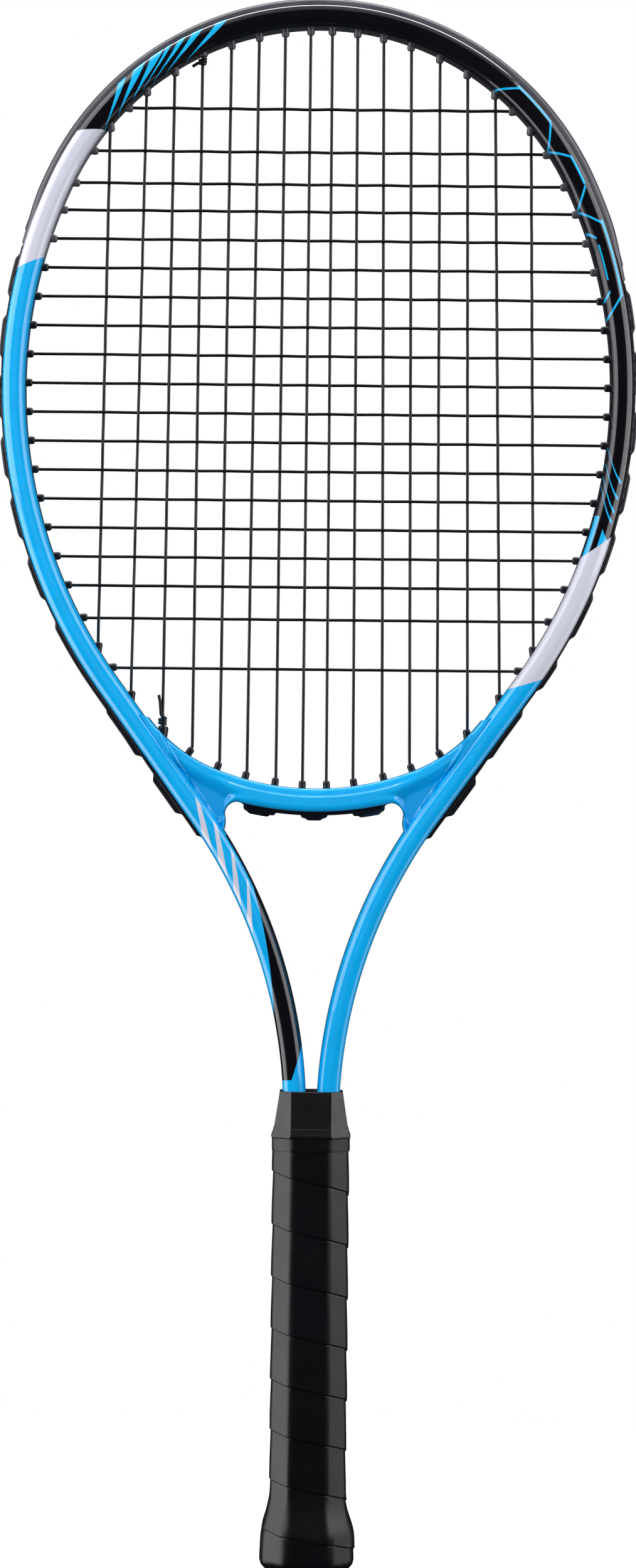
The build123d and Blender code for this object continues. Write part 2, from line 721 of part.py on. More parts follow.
def make_knot(name):
    """Two hitches round the main string, at the mouth of the hole that it shares."""
    port = PORTS[name]
    corner = port["points"][0]
    towards = Vector(0, 0, 1 if name.endswith("throat") else -1)
    coil = STRING_D + KNOT_SLACK / 2
    turns = []
    for step in KNOT_TURNS:
        centre = corner + towards * step
        turns.append(Pos(*centre) * Torus(coil, STRING_D / 2))
    return turns[0] + turns[1]


# ---------------------------------------------------------------- handle
def octagon(z, width, depth, flat):
    bevel = (width - flat) / 2
    x0, x1 = flat / 2, width / 2
    y0, y1 = depth / 2 - bevel, depth / 2
    corners = [(x0, -y1), (x1, -y0), (x1, y0), (x0, y1), (-x0, y1), (-x1, y0), (-x1, -y0), (-x0, -y1)]
    return Plane.XY.offset(z) * make_face(Polyline(*corners, close=True))


def stack(levels):
    """Octagonal body through (z, extra width over the pallets) levels."""
    base_w = GRIP_WIDTH - 2 * GRIP_THICK
    base_d = GRIP_DEPTH - 2 * GRIP_THICK
    ring = GRIP_FLAT - 2 * GRIP_THICK * math.tan(math.radians(22.5))
    grow = 2 * math.tan(math.radians(22.5))
    sections = [octagon(z, base_w + 2 * e, base_d + 2 * e, ring + e * grow) for z, e in levels]
    return loft(sections, ruled=True)


CAP_LEVELS = [(0, 1.6), (0.8, 2.2), (3.5, 4.0), (15.0, 3.9), (26.0, 0.9)]
GRIP_LEVELS = [(0.8, 3.2), (2.4, 5.2), (4.5, 5.9), (15.0, 5.8), (27.0, 2.6), (32.0, 1.8), (GRIP_TOP_Z, 1.8)]


def make_staples():
    """Two wire staples, one through each side of the cap."""
    reach = (GRIP_WIDTH - 2 * GRIP_THICK) / 2 + STAPLE_STAND
    staple = Pos(reach, 0, STAPLE_Z) * Box(STAPLE_WIRE, STAPLE_SPAN, STAPLE_WIRE)
    for side in (-1, 1):
        y = side * (STAPLE_SPAN - STAPLE_WIRE) / 2
        staple += Pos(reach - STAPLE_LEG / 2, y, STAPLE_Z) * Box(STAPLE_LEG, STAPLE_WIRE, STAPLE_WIRE)
    return [staple, staple.mirror(Plane.YZ)]


def make_pallet(bar, staples, side):
    """One half of the handle core; its channels hold both legs of the tube."""
    core = stack([(CAP_FLOOR, 0), (PALLET_TOP_Z, 0)])
    half = Box(2 * GRIP_WIDTH, GRIP_DEPTH, 2 * PALLET_TOP_Z)
    half = Pos(0, side * GRIP_DEPTH / 2, PALLET_TOP_Z / 2) * half
    return (core & half) - bar - staples


def make_cap(staples):
    cap = stack(CAP_LEVELS) - stack([(CAP_FLOOR, 0), (PALLET_TOP_Z, 0)]) - staples
    return cap - Cylinder(BADGE_D / 2, 2 * BADGE_THICK)


def make_grip(staples):
    grip = stack(GRIP_LEVELS) - stack(CAP_LEVELS) - stack([(0, 0), (PALLET_TOP_Z, 0)])
    return grip - staples


def make_tape():
    outer = stack([(TAPE_BOTTOM_Z, GRIP_THICK + TAPE_THICK), (GRIP_TOP_Z, GRIP_THICK + TAPE_THICK)])
    return outer - stack([(TAPE_BOTTOM_Z - 1, GRIP_THICK), (GRIP_TOP_Z + 1, GRIP_THICK)])


def make_collar(bar):
    """Tapered rubber sleeve over the top of the handle, closed between the two legs."""
    base = octagon(GRIP_TOP_Z, GRIP_WIDTH, GRIP_DEPTH, COLLAR_FLAT)
    top = octagon(COLLAR_TOP_Z, COLLAR_TOP_WIDTH, COLLAR_TOP_DEPTH, COLLAR_FLAT)
    sleeve = loft([base, top], ruled=True)
    return sleeve - bar - stack([(0, 0), (PALLET_TOP_Z, 0)])


def make_badge():
    return Cylinder(BADGE_D / 2, BADGE_THICK, align=FROM_BASE)


# ---------------------------------------------------------------- build and export
def main():
    bar = tube_solid()
    staples = make_staples()
    nodes = {
        "frame_tube": make_frame_tube(bar),
        "throat_bridge": make_bridge(bar),
        "bridge_screws": make_bridge_screws(),
        "bumper_guard": make_bumper(),
        "grommet_strip_left": make_strip(-1),
        "grommet_strip_right": make_strip(1),
        "bridge_grommet_strip": make_bridge_strip(),
        "shoulder_bushes": make_shoulder_bushes(bar),
        "string": make_string(),
        "string_knot_lower": make_knot("main_3_throat"),
        "string_knot_upper": make_knot("main_4_crown"),
        "pallet_front": make_pallet(bar, staples, -1),
        "pallet_back": make_pallet(bar, staples, 1),
        "butt_cap": make_cap(staples),
        "butt_badge": make_badge(),
        "butt_staples": Compound(children=[Solid(s.solid().wrapped) for s in staples]),
        "grip_wrap": make_grip(staples),
        "finishing_tape": make_tape(),
        "grip_collar": make_collar(bar),
    }
    os.makedirs("parts", exist_ok=True)
    for name, shape in nodes.items():
        export_step(shape, f"parts/{name}.step")


main()
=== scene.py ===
import math

import bmesh
import bpy
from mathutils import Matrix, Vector, noise

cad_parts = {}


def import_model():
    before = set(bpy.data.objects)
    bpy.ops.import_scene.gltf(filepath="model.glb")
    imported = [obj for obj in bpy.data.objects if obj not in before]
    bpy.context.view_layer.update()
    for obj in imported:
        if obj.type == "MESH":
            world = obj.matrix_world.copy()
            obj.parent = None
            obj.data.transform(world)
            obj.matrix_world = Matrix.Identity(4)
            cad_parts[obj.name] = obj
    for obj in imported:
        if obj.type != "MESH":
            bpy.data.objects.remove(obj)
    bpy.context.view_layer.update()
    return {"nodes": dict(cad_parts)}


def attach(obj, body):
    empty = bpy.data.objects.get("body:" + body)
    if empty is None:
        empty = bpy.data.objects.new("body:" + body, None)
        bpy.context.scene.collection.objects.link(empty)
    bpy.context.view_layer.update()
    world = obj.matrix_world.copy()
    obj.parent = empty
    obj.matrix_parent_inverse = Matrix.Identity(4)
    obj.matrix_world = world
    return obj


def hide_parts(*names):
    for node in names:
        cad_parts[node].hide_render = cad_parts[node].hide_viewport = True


# Looks of the tennis racket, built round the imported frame. Lengths below are in
# millimetres in the row frame: +Z from the butt to the crown, +X across, front at -Y.
MM = 0.001

# Frame tube section and its bent centreline, one half from the crown down (mm, degrees)
LENGTH = 685.8
TUBE_WIDTH = 10.0
TUBE_DEPTH = 20.0
TUBE_CORNER = 4.6
BUMPER_THICK = 2.6
CROWN_RADIUS = 124.1
CROWN_TURN = 64.4
HEAD_HALF_WIDTH = 132.8
LOW_RADIUS = 221.5
SPLAY = 35.8
LEG_STRAIGHT = 69.8
SHOULDER_RADIUS = 227.5
TUBE_END_Z = 8.0

# Throat bridge
ARCH_LOW_Z = 340.9
ARCH_RADIUS = 118.0
ARCH_TURN = 22.0
ARCH_END_RADIUS = 67.0
ARCH_END_TURN = 53.0
BRIDGE_UNDER_Z = 330.7
BRIDGE_UNDER_RADIUS = 140.0
BRIDGE_DEPTH = 18.6
HORN_FILLET = 5.5
HORN_INNER_X = 39.1
HORN_TIP = (40.6, 320.4)
RIDGE_LOW = (45.8, 327.9)
BRIDGE_INNER_ROUND = 2.2
BRIDGE_OUTER_ROUND = 2.6
SHELF_WIDTH = 2.9
SHELF_DROP = 1.3
SHELF_EDGE = 1.1
WEB_SINK = 3.2
WEB_FROM_ARCH = (5.0, 11.0)
WEB_FROM_EDGE = (1.2, 4.4)
FOLD_HEIGHT = 1.5
FOLD_FROM_EDGE = 5.4
# Arch angles (degrees) that face the corners of the bridge's outer edge
UNDER_END = 15.5
FILLET_END = 20
HORN_SIDE_END = 23
HORN_TIP_END = 25
HORN_BACK_END = 28
# Arch angles between which the web sinks, the shelf fades and the outer rounding fades
WEB_ANGLES = (13, 19)
SHELF_FADE = (17, 26)
ROUND_FADE = (24, 30)
# Shares of the way across the bridge at which its section is drawn, closest where it bends
BRIDGE_SHARES = [
    0, 0.006, 0.02, 0.045, 0.08, 0.12, 0.15, 0.18, 0.21, 0.24, 0.27, 0.29, 0.31, 0.33, 0.35, 0.37, 0.39,
    0.41, 0.44, 0.48, 0.53, 0.59, 0.65, 0.71, 0.77, 0.82, 0.87, 0.91, 0.945, 0.97, 0.988, 0.997, 1,
]

# String and its holes
STRING_D = 1.3
STRING_LOOK_D = 1.34
WEAVE_SWING = 0.70
WEAVE_STEPS = 6
CROWN_MAINS = [4.7, 15.8, 27.2, 39.3, 51.9, 64.0, 76.2, 92.0]
THROAT_MAINS = [5.2, 16.85, 29.5, 41.5, 53.5, 66.7, 80.6, 95.2]
CROSS_TOP_Z = [637.8, 619.0, 604.9]
CROSS_PITCH = 12.63
CROSS_FIRST_EVEN_Z = 593.0
CROSS_EVEN_COUNT = 14
CROSS_LOW_Z = [414.6, 392.9]
OUTER_BEND = 1.3
LANE = 1.45
LANE_RUN = 3.2
TIE_ASIDE = 0.72
TIE_RETURN = 8.0
KNOT_STEPS = 14
KNOT_COIL = 1.03 * STRING_D
KNOT_RISE = 1.02 * STRING_D
KNOT_CLEAR = 0.5
LOWER_KNOT_TURNS = 2.25
UPPER_KNOT_TURNS = 2.2
# Bends of the cut ends, from the middle of each knot
LOWER_TAIL = [(1.5, -1.1, 2.8), (-0.6, -1.75, 4.3), (-1.1, -1.35, 10.5), (-1.7, -1.3, 13.0)]
UPPER_TAIL = [(0.4, -1.9, -2.5), (-2.0, -1.9, -2.3), (-4.4, -1.7, -3.9)]
BRIDGE_WRAP = 2.2
BRIDGE_EXIT = 0.9
SHOULDER_KNEES = {3: 8.0, 4: 4.0}

# Grommets and strips
BARREL_D = 3.0
BORE_D = 1.8
TIE_BARREL_D = 4.2
TIE_BORE_D = 3.0
BARREL_REACH = 2.5
BARREL_LEAN = 0.22
BARREL_SWELL = 0.2
BRIDGE_BARREL_SWELL = 0.05
BRIDGE_BARREL_BURIED = 1.4
BRIDGE_REACH = 3.3
BEND_STANDOFF = 0.25
SKIN_DIP = 0.4
STRIP_THICK = 0.8
STRIP_WIDTH = 8.5
RIB_HEIGHT = 1.4
LOW_RIB_HEIGHT = 2.1
LOW_STRIP_EXTRA = 0.7
RIB_WIDTH = 1.4
RIB_OVERRUN = 3.6
RIB_RAMP = 3.4
NARROW_GROOVE = 1.8
WIDE_GROOVE = 4.6
BRIDGE_STRIP_THICK = 1.6
BRIDGE_STRIP_HALF = 32.2
BRIDGE_RIB_HEIGHT = 2.2
BRIDGE_RIB_OVERRUN = 0.4
BUMPER_DEPTH = 15.0
BUMPER_WRAP = 1.5
BUMPER_FLOOR = 0.45
BUMPER_END_LEFT = 173.0
BUMPER_END_RIGHT = 187.0
BUMPER_TAPER = 26
STRIP_END = 452.0
STRIP_TAPER = 2
LOW_STRIP_FROM = (395, 415)

# Handle
GRIP_WIDTH = 33.2
GRIP_DEPTH = 30.2
GRIP_FLAT = 16.5
GRIP_THICK = 1.8
GRIP_TOP_Z = 189.9
TAPE_BOTTOM_Z = 182.8
TAPE_THICK = 0.4
COLLAR_TOP_Z = 208.9
COLLAR_TOP_WIDTH = 27.5
COLLAR_TOP_DEPTH = 23.4
COLLAR_FLAT = 17.6
GRIP_CORNER = 3.2
TAPE_CORNER = 2.4
# How far the ribbon lies outside the handle's octagon, as (height, distance)
GRIP_LEVELS = [(0.8, 3.4), (2.4, 5.0), (5.0, 5.8), (14.0, 5.7), (27.0, 2.6), (33.0, 1.8), (190.0, 1.8)]
# Visible edges of the ribbon: first height, pitch and how the pitch eases; then relief of ribbon and tape
SEAM_FIRST_Z = 175.2
SEAM_PITCH = 23.3
SEAM_EASE = 0.15
SEAM_STEP = 0.62
SEAM_WANDER = 0.12
SEAM_LIP = 0.34
SEAM_CREASE = 0.16
RIBBON_SINK = 0.32
RIBBON_RIPPLE = 0.05
TAPE_WRINKLE = 0.07
TAPE_SWAY = 0.12
TAPE_END_STEP = 0.16
TAPE_END = (0.55, 0.72)
FIRST_TURN = -2
LAST_TURN = 9
# Shares of the way from one edge of the ribbon to the next at which it is drawn
RIBBON_SHARES = [0, 0.006, 0.012, 0.03, 0.08, 0.16, 0.25, 0.35, 0.45, 0.55, 0.65, 0.75, 0.84, 0.91, 0.955,
                 0.975, 0.983, 0.99, 0.996]
# Tape from its lower edge: height and how far it stands out
TAPE_RIMS = [(0.0, -0.5), (0.05, -0.12), (0.3, 0.02), (1.2, 0.0), (2.4, 0.03), (3.6, 0.0), (4.8, 0.03),
             (5.9, 0.0), (6.6, 0.0), (6.95, -0.1), (7.05, -0.5)]
# Collar from the top of the grip: height, how far it stands out and its corner radius
COLLAR_RIMS = [
    (-1.6, -0.4, 0.5), (-1.5, 0.25, 0.6), (-1.05, 0.62, 0.7), (-0.5, 0.72, 0.7), (0.2, 0.52, 0.6),
    (0.9, 0.3, 0.5), (2.2, 0.2, 0.45), (2.75, 0.16, 0.4), (2.9, 0.04, 0.35), (3.2, 0.0, 0.35),
    (9.0, -0.05, 0.35), (14.0, -0.05, 0.35), (18.3, 0.0, 0.35), (18.75, -0.06, 0.35),
    (18.95, -0.28, 0.35), (19.0, -0.7, 0.35), (18.8, -2.2, 0.3), (18.7, -5.0, 0.3),
]

# Colours (linear)
BLUE = (0.002, 0.47, 0.96)
CYAN = (0.004, 0.50, 0.92)
# Darker blue laid on the bridge's hollow webs as painted shade
WEB_SHADE_BLUE = (0.001, 0.40, 0.88)
PEARL = (0.70, 0.71, 0.80)
JET = (0.0022, 0.0018, 0.0034)
STRING_BLACK = (0.003, 0.0035, 0.0045)
STRIP_BLACK = (0.0065, 0.0075, 0.011)
GRIP_BLACK = (0.0022, 0.0022, 0.0034)
TAPE_BLACK = (0.002, 0.002, 0.003)
COLLAR_BLACK = (0.0015, 0.0016, 0.0024)
CAP_BLACK = (0.012, 0.012, 0.014)
BUMPER_GREY = (0.07, 0.07, 0.082)
BADGE_GREY = (0.25, 0.26, 0.28)
FOAM = (0.42, 0.36, 0.22)
STEEL = (0.62, 0.61, 0.58)

# Where the painted sections start (mm along the tube from the crown, left side negative) and their slant
LEFT_PEARL = (-117.0, 0.8)
LEFT_BLUE = (-180.7, 0.75)
RIGHT_PEARL = (304.3, 1.3)
RIGHT_BLUE = (371.8, 1.27)
# Slashes left of the crown: place and half width, and how they slant, bow and narrow inwards
SLASHES = [(-42.3, 2.5), (-53.3, 2.4), (-60.6, 1.8), (-67.0, 1.3), (-72.8, 3.2), (-82.0, 3.2), (-91.6, 2.3)]
SLASH_SLANT = 0.95
SLASH_BOW = 0.12
SLASH_NARROWING = 0.0095
# Line figures right of the crown: first and last place, distance out from the centreline, width
OUTLINES = [(92.0, 113.0, 2.8, 1.0), (129.5, 143.0, 1.9, 1.0), (160.0, 194.0, 3.0, 1.0),
            (170.0, 186.0, -1.7, 0.7)]
# Curved lines and two patches above the right pearl section
FEATHERS = [271.0, 278.0, 284.0, 288.5]
FEATHER_SLANT = -1.55
FEATHER_BOW = 0.12
FEATHER_EDGE = 3.2
# Slashes on the left leg: place and half width; they lie on its front face only
LEG_MARKS = [(-445.0, 2.9), (-459.0, 2.9), (-473.0, 2.61), (-487.0, 2.03)]
LEG_SLANT = 2.6
LEG_FACE = (-3.4, 4.0)
# Black stripe on the inner side of the left leg: where it starts, widens and ends
STRIPE_START = -457.0
STRIPE_WIDENS = -482.0
STRIPE_END = -567.5
STRIPE_EDGE = -4.3
STRIPE_SPREAD = 0.164

# Studio (metres): a soft round light above, a little fill, and panels
TOP_LIGHT = (0.45, 0.45, 0.5)
TOP_LIGHT_ANGLE = 40
TOP_LIGHT_SOFTNESS = 8
FILL = (0.03, 0.032, 0.036)
PANEL_COLOUR = (1.0, 0.99, 1.03)
# Panels: place, way they face, width, height, radiance, whether they show as highlights
PANELS = [
    ("left_head_panel", (-0.85, -0.35, 1.04), (1, 0, 0), 1.3, 1.32, 2.1, True),
    ("left_grip_panel", (-0.85, -0.1, -0.02), (1, 0, 0), 0.8, 0.78, 2.1, True),
    ("right_head_panel", (0.80, -0.3, 0.9), (-1, 0, 0), 1.0, 1.36, 2.0, True),
    ("right_grip_panel", (0.80, 0.02, -0.1), (-1, 0, 0), 0.5, 0.62, 0.9, True),
    ("crown_strip", (0.0, 0.22, 1.24), (0, -0.36, -0.93), 1.0, 0.15, 8.0, True),
    ("front_panel", (0.0, -2.2, 0.9), (0, 2.2, -0.5), 1.6, 1.6, 3.4, False),
]
FLOOR_RADIUS = 0.5
FLOOR_DROP = 0.0006
FLOOR_GLOW = 0.7
CAMERA_DISTANCE = 2100.0
CAMERA_X = 1.6
CAMERA_LEAN = 0.5624
SENSOR = 36.0

HALF_W = TUBE_WIDTH / 2
HALF_D = TUBE_DEPTH / 2


# ---- small helpers
def smoothstep(low, high, value):
    share = min(max((value - low) / (high - low), 0.0), 1.0)
    return share * share * (3 - 2 * share)


def mix(a, b, share):
    return a + (b - a) * share


def skin(rings, loop=False):
    """Surface through rings of equal size: closed with caps, or joined end to end."""
    size = len(rings[0])
    count = len(rings)
    faces = []
    for i in range(count if loop else count - 1):
        j = (i + 1) % count
        for k in range(size):
            m = (k + 1) % size
            faces.append((i * size + k, i * size + m, j * size + m, j * size + k))
    if not loop:
        faces.append(tuple(range(size - 1, -1, -1)))
        faces.append(tuple(range((count - 1) * size, count * size)))
    return [point for ring in rings for point in ring], faces


def join(parts):
    """Several (vertices, faces) as one."""
    vertices = []
    faces = []
    for part_vertices, part_faces in parts:
        first = len(vertices)
        vertices.extend(part_vertices)
        faces.extend(tuple(first + i for i in face) for face in part_faces)
    return vertices, faces


def make_piece(name, shape, material, stands_for=(), fields=None, crease=45):
    """Object from a shape in millimetres, riding on the racket, smooth but for its creases."""
    vertices, faces = shape
    mesh = bpy.data.meshes.new(name)
    mesh.from_pydata([v * MM for v in vertices], [], faces)
    for label, values in (fields or {}).items():
        mesh.attributes.new(label, "FLOAT", "POINT").data.foreach_set("value", values)
    clean = bmesh.new()
    clean.from_mesh(mesh)
    bmesh.ops.remove_doubles(clean, verts=clean.verts, dist=1e-6)
    bmesh.ops.dissolve_degenerate(clean, edges=clean.edges, dist=1e-6)
    bmesh.ops.recalc_face_normals(clean, faces=clean.faces)
    clean.to_mesh(mesh)
    clean.free()
    mesh.shade_smooth()
    mesh.set_sharp_from_angle(angle=math.radians(crease))
    mesh.materials.append(material)
    piece = bpy.data.objects.new(name, mesh)
    bpy.context.scene.collection.objects.link(piece)
    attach(piece, "root")
    if stands_for:
        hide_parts(*stands_for)
    return piece


def rounded_box(width, depth, corner, steps):
    """Closed outline of a rounded rectangle as (outwards, y) pairs."""
    points = []
    for quarter, (sx, sy) in enumerate([(1, 1), (-1, 1), (-1, -1), (1, -1)]):
        for i in range(steps + 1):
            angle = math.radians(90 * (quarter + i / steps))
            points.append((sx * (width / 2 - corner) + corner * math.cos(angle),
                           sy * (depth / 2 - corner) + corner * math.sin(angle)))
    return points


def lathe(origin, axis, profile, sides=28):
    """Closed ring-shaped solid: a loop of (radius, height) turned about an axis."""
    aside = axis.cross(Vector((0, 1, 0)))
    if aside.length < 0.1:
        aside = axis.cross(Vector((1, 0, 0)))
    aside.normalize()
    third = axis.cross(aside)
    rings = []
    for k in range(sides):
        angle = 2 * math.pi * k / sides
        out = aside * math.cos(angle) + third * math.sin(angle)
        rings.append([origin + out * radius + axis * height for radius, height in profile])
    return skin(rings, loop=True)


def thread(path, radius, sides=10):
    """Round cord along a path, with rings that turn as little as possible."""
    rings = []
    aside = Vector((0.3, 0.9, 0.2))
    for i, point in enumerate(path):
        ahead = (path[min(i + 1, len(path) - 1)] - path[max(i - 1, 0)]).normalized()
        aside = (aside - ahead * aside.dot(ahead)).normalized()
        third = ahead.cross(aside)
        turns = [2 * math.pi * k / sides for k in range(sides)]
        rings.append([point + (aside * math.cos(a) + third * math.sin(a)) * radius for a in turns])
    return skin(rings)


# ---- tube centreline
def stretches():
    """Bent tube as (kind, centre or start, radius, first normal angle, length), crown down."""
    turn = math.radians(CROWN_TURN)
    low = math.radians(90 + SPLAY)
    crown_z = LENGTH - BUMPER_THICK - HALF_W - CROWN_RADIUS
    side_radius = (HEAD_HALF_WIDTH - CROWN_RADIUS * math.sin(turn)) / (1 - math.sin(turn))
    side_z = crown_z + (CROWN_RADIUS - side_radius) * math.cos(turn)
    low_x = HEAD_HALF_WIDTH - LOW_RADIUS
    start_x = low_x + LOW_RADIUS * math.sin(low)
    start_z = side_z + LOW_RADIUS * math.cos(low)
    end_x = start_x + LEG_STRAIGHT * math.cos(low)
    end_z = start_z - LEG_STRAIGHT * math.sin(low)
    shoulder_x = end_x + SHOULDER_RADIUS * math.sin(low)
    shoulder_z = end_z + SHOULDER_RADIUS * math.cos(low)
    right = math.pi / 2
    return [
        ("bulge", (0, crown_z), CROWN_RADIUS, 0, CROWN_RADIUS * turn),
        ("bulge", (HEAD_HALF_WIDTH - side_radius, side_z), side_radius, turn, side_radius * (right - turn)),
        ("bulge", (low_x, side_z), LOW_RADIUS, right, LOW_RADIUS * (low - right)),
        ("line", (start_x, start_z), 0, low, LEG_STRAIGHT),
        ("hollow", (shoulder_x, shoulder_z), SHOULDER_RADIUS, low, SHOULDER_RADIUS * (low - right)),
        ("line", (shoulder_x - SHOULDER_RADIUS, shoulder_z), 0, right, shoulder_z - TUBE_END_Z),
    ]


STRETCHES = stretches()
TUBE_HALF_LENGTH = sum(piece[4] for piece in STRETCHES)
HEAD_HALF_LENGTH = sum(piece[4] for piece in STRETCHES[:3])
LEG_END = HEAD_HALF_LENGTH + LEG_STRAIGHT
WIDEST = STRETCHES[0][4] + STRETCHES[1][4]


def spot(s):
    """Centreline point, outward normal and direction of travel at signed length s."""
    left = abs(s)
    for kind, (x, z), radius, angle, length in STRETCHES:
        if left <= length:
            break
        left -= length
    if kind == "bulge":
        angle += left / radius
        x += radius * math.sin(angle)
        z += radius * math.cos(angle)
    elif kind == "hollow":
        angle -= left / radius
        x -= radius * math.sin(angle)
        z -= radius * math.cos(angle)
    else:
        x += left * math.cos(angle)
        z -= left * math.sin(angle)
    side = -1 if s < 0 else 1
    normal = Vector((side * math.sin(angle), 0, math.cos(angle)))
    travel = Vector((math.cos(angle), 0, -side * math.sin(angle)))
    return Vector((side * x, 0, z)), normal, travel


def place(s, offset=0.0, y=0.0):
    point, normal, travel = spot(s)
    return point + normal * offset + Vector((0, y, 0))


def stations(s_first, s_last, step):
    """Evenly spaced lengths along the tube, ends included."""
    count = max(2, round((s_last - s_first) / step))
    return [mix(s_first, s_last, i / count) for i in range(count + 1)]


def solve(axis, target, low, high, inset):
    """Length s in low..high where the point inset from the centreline has the coordinate."""
    def value(s):
        return getattr(place(s, -inset), axis)

    rising = value(high) > value(low)
    for step in range(60):
        middle = (low + high) / 2
        if (value(middle) < target) == rising:
            low = middle
        else:
            high = middle
    return (low + high) / 2


# ---- string holes
OUT_OFFSET = HALF_W + STRIP_THICK + 0.1 + STRING_D / 2


def arch_point(angle, inwards=0.0):
    """Point on the arch at an angle from straight down."""
    turn = min(angle, math.radians(ARCH_TURN))
    x = ARCH_RADIUS * math.sin(turn) + ARCH_END_RADIUS * (math.sin(angle) - math.sin(turn))
    z = ARCH_LOW_Z + ARCH_RADIUS - ARCH_RADIUS * math.cos(turn)
    z -= ARCH_END_RADIUS * (math.cos(angle) - math.cos(turn))
    return Vector((x - inwards * math.sin(angle), 0, z + inwards * math.cos(angle)))


def arch_spot(x_target, lift):
    """Point on the arch, and the direction out of the hoop there, whose lifted point has this X."""
    turn = math.radians(ARCH_TURN)
    centre = Vector((0, 0, ARCH_LOW_Z + ARCH_RADIUS))
    radius = ARCH_RADIUS
    if abs(x_target) > (ARCH_RADIUS - lift) * math.sin(turn):
        step = ARCH_RADIUS - ARCH_END_RADIUS
        centre += Vector((step * math.sin(turn), 0, -step * math.cos(turn)))
        radius = ARCH_END_RADIUS
    angle = math.asin((abs(x_target) - centre.x) / (radius - lift))
    side = -1 if x_target < 0 else 1
    out = Vector((side * math.sin(angle), 0, -math.cos(angle)))
    return Vector((side * centre.x, 0, centre.z)) + out * radius, out


def tube_port(side, axis, target, low, high, wrap=0.0):
    """A string hole straight through the tube, and through what wraps its inner side there."""
    inset = HALF_W + wrap - SKIN_DIP
    s = side * solve(axis, target, low, high, inset)
    return {"kind": "tube", "s": s, "points": [place(s, -inset), place(s, OUT_OFFSET)]}


def bridge_port(x):
    """A string hole through the middle of the bridge that comes out a little nearer its middle."""
    surface, out = arch_spot(x, BRIDGE_REACH + BEND_STANDOFF)
    inside = surface - out * (BRIDGE_REACH + BEND_STANDOFF)
    under = Vector((0, 0, BRIDGE_UNDER_Z + BRIDGE_UNDER_RADIUS))
    reach = BRIDGE_UNDER_RADIUS + BRIDGE_STRIP_THICK + 0.1 + STRING_D / 2
    offset = inside - under
    along = offset.dot(out)
    travel = -along + math.sqrt(along ** 2 - offset.dot(offset) + reach ** 2)
    turn = math.asin((inside + out * travel).x * BRIDGE_EXIT / reach)
    below = under + Vector((math.sin(turn), 0, -math.cos(turn))) * reach
    return {"kind": "bridge", "surface": surface, "out": out, "points": [inside, below]}


def shoulder_port(x, knee_depth):
    """A hole through the side of the bridge that turns once and leaves through the tube."""
    surface, out = arch_spot(x, BRIDGE_REACH + BEND_STANDOFF)
    knee = surface + out * knee_depth
    side = -1 if x < 0 else 1
    start, normal, travel = spot(side * HEAD_HALF_LENGTH)
    s = side * (HEAD_HALF_LENGTH + side * (knee - start).dot(travel))
    return {"kind": "shoulder", "s": s, "surface": surface, "out": out,
            "points": [surface - out * (BRIDGE_REACH + BEND_STANDOFF), knee, place(s, OUT_OFFSET)]}


def main_name(side, rank, end):
    """Mains are numbered 1 to 16 from the left; rank 0 is next to the middle."""
    number = 8 - rank if side < 0 else 9 + rank
    return f"main_{number}_{end}"


def cross_heights():
    """Heights of the crosses, from the crown down."""
    even = [CROSS_FIRST_EVEN_Z - CROSS_PITCH * k for k in range(CROSS_EVEN_COUNT)]
    return CROSS_TOP_Z + even + CROSS_LOW_Z


def throat_port(side, rank, x):
    """The lower hole of a main: through the bridge, its shoulder, its tip or the bare tube."""
    if rank < 3:
        return bridge_port(side * x)
    if rank in SHOULDER_KNEES:
        return shoulder_port(side * x, SHOULDER_KNEES[rank])
    return tube_port(side, "x", x, WIDEST, LEG_END, BRIDGE_WRAP if rank == 5 else 0)


def string_ports():
    """Every string hole by name."""
    ports = {}
    for side in (-1, 1):
        for rank, x in enumerate(CROWN_MAINS):
            ports[main_name(side, rank, "crown")] = tube_port(side, "x", x, 0, STRETCHES[0][4])
        for rank, x in enumerate(THROAT_MAINS):
            ports[main_name(side, rank, "throat")] = throat_port(side, rank, x)
        for number, z in enumerate(cross_heights(), 1):
            name = f"cross_{number}_" + ("left" if side < 0 else "right")
            ports[name] = tube_port(side, "z", z, 0, LEG_END)
    return ports


PORTS = string_ports()
TIE_PORTS = ("main_3_throat", "main_4_crown")
TIE_REACH = {"main_3_throat": 3.4, "main_4_crown": 1.5}


def outside_runs():
    """Every run of string on the outside of the frame: from, to and sideways lane."""
    runs = [("main_3_throat", "main_1_throat", -LANE)]
    for number in range(1, 16, 2):
        lane = LANE if number in (1, 15) else 0
        runs.append((f"main_{number}_crown", f"main_{number + 1}_crown", lane))
    for number in range(2, 15, 2):
        lane = LANE if number == 2 else 0
        runs.append((f"main_{number}_throat", f"main_{number + 1}_throat", lane))
    runs.append(("main_16_throat", "cross_19_right", 0))
    for number in range(19, 1, -1):
        side = "left" if number % 2 else "right"
        lane = {(19, "left"): LANE, (2, "right"): -LANE}.get((number, side), 0)
        runs.append((f"cross_{number}_{side}", f"cross_{number - 1}_{side}", lane))
    runs.append(("cross_1_left", "main_4_crown", -LANE))
    return runs


RUNS = outside_runs()


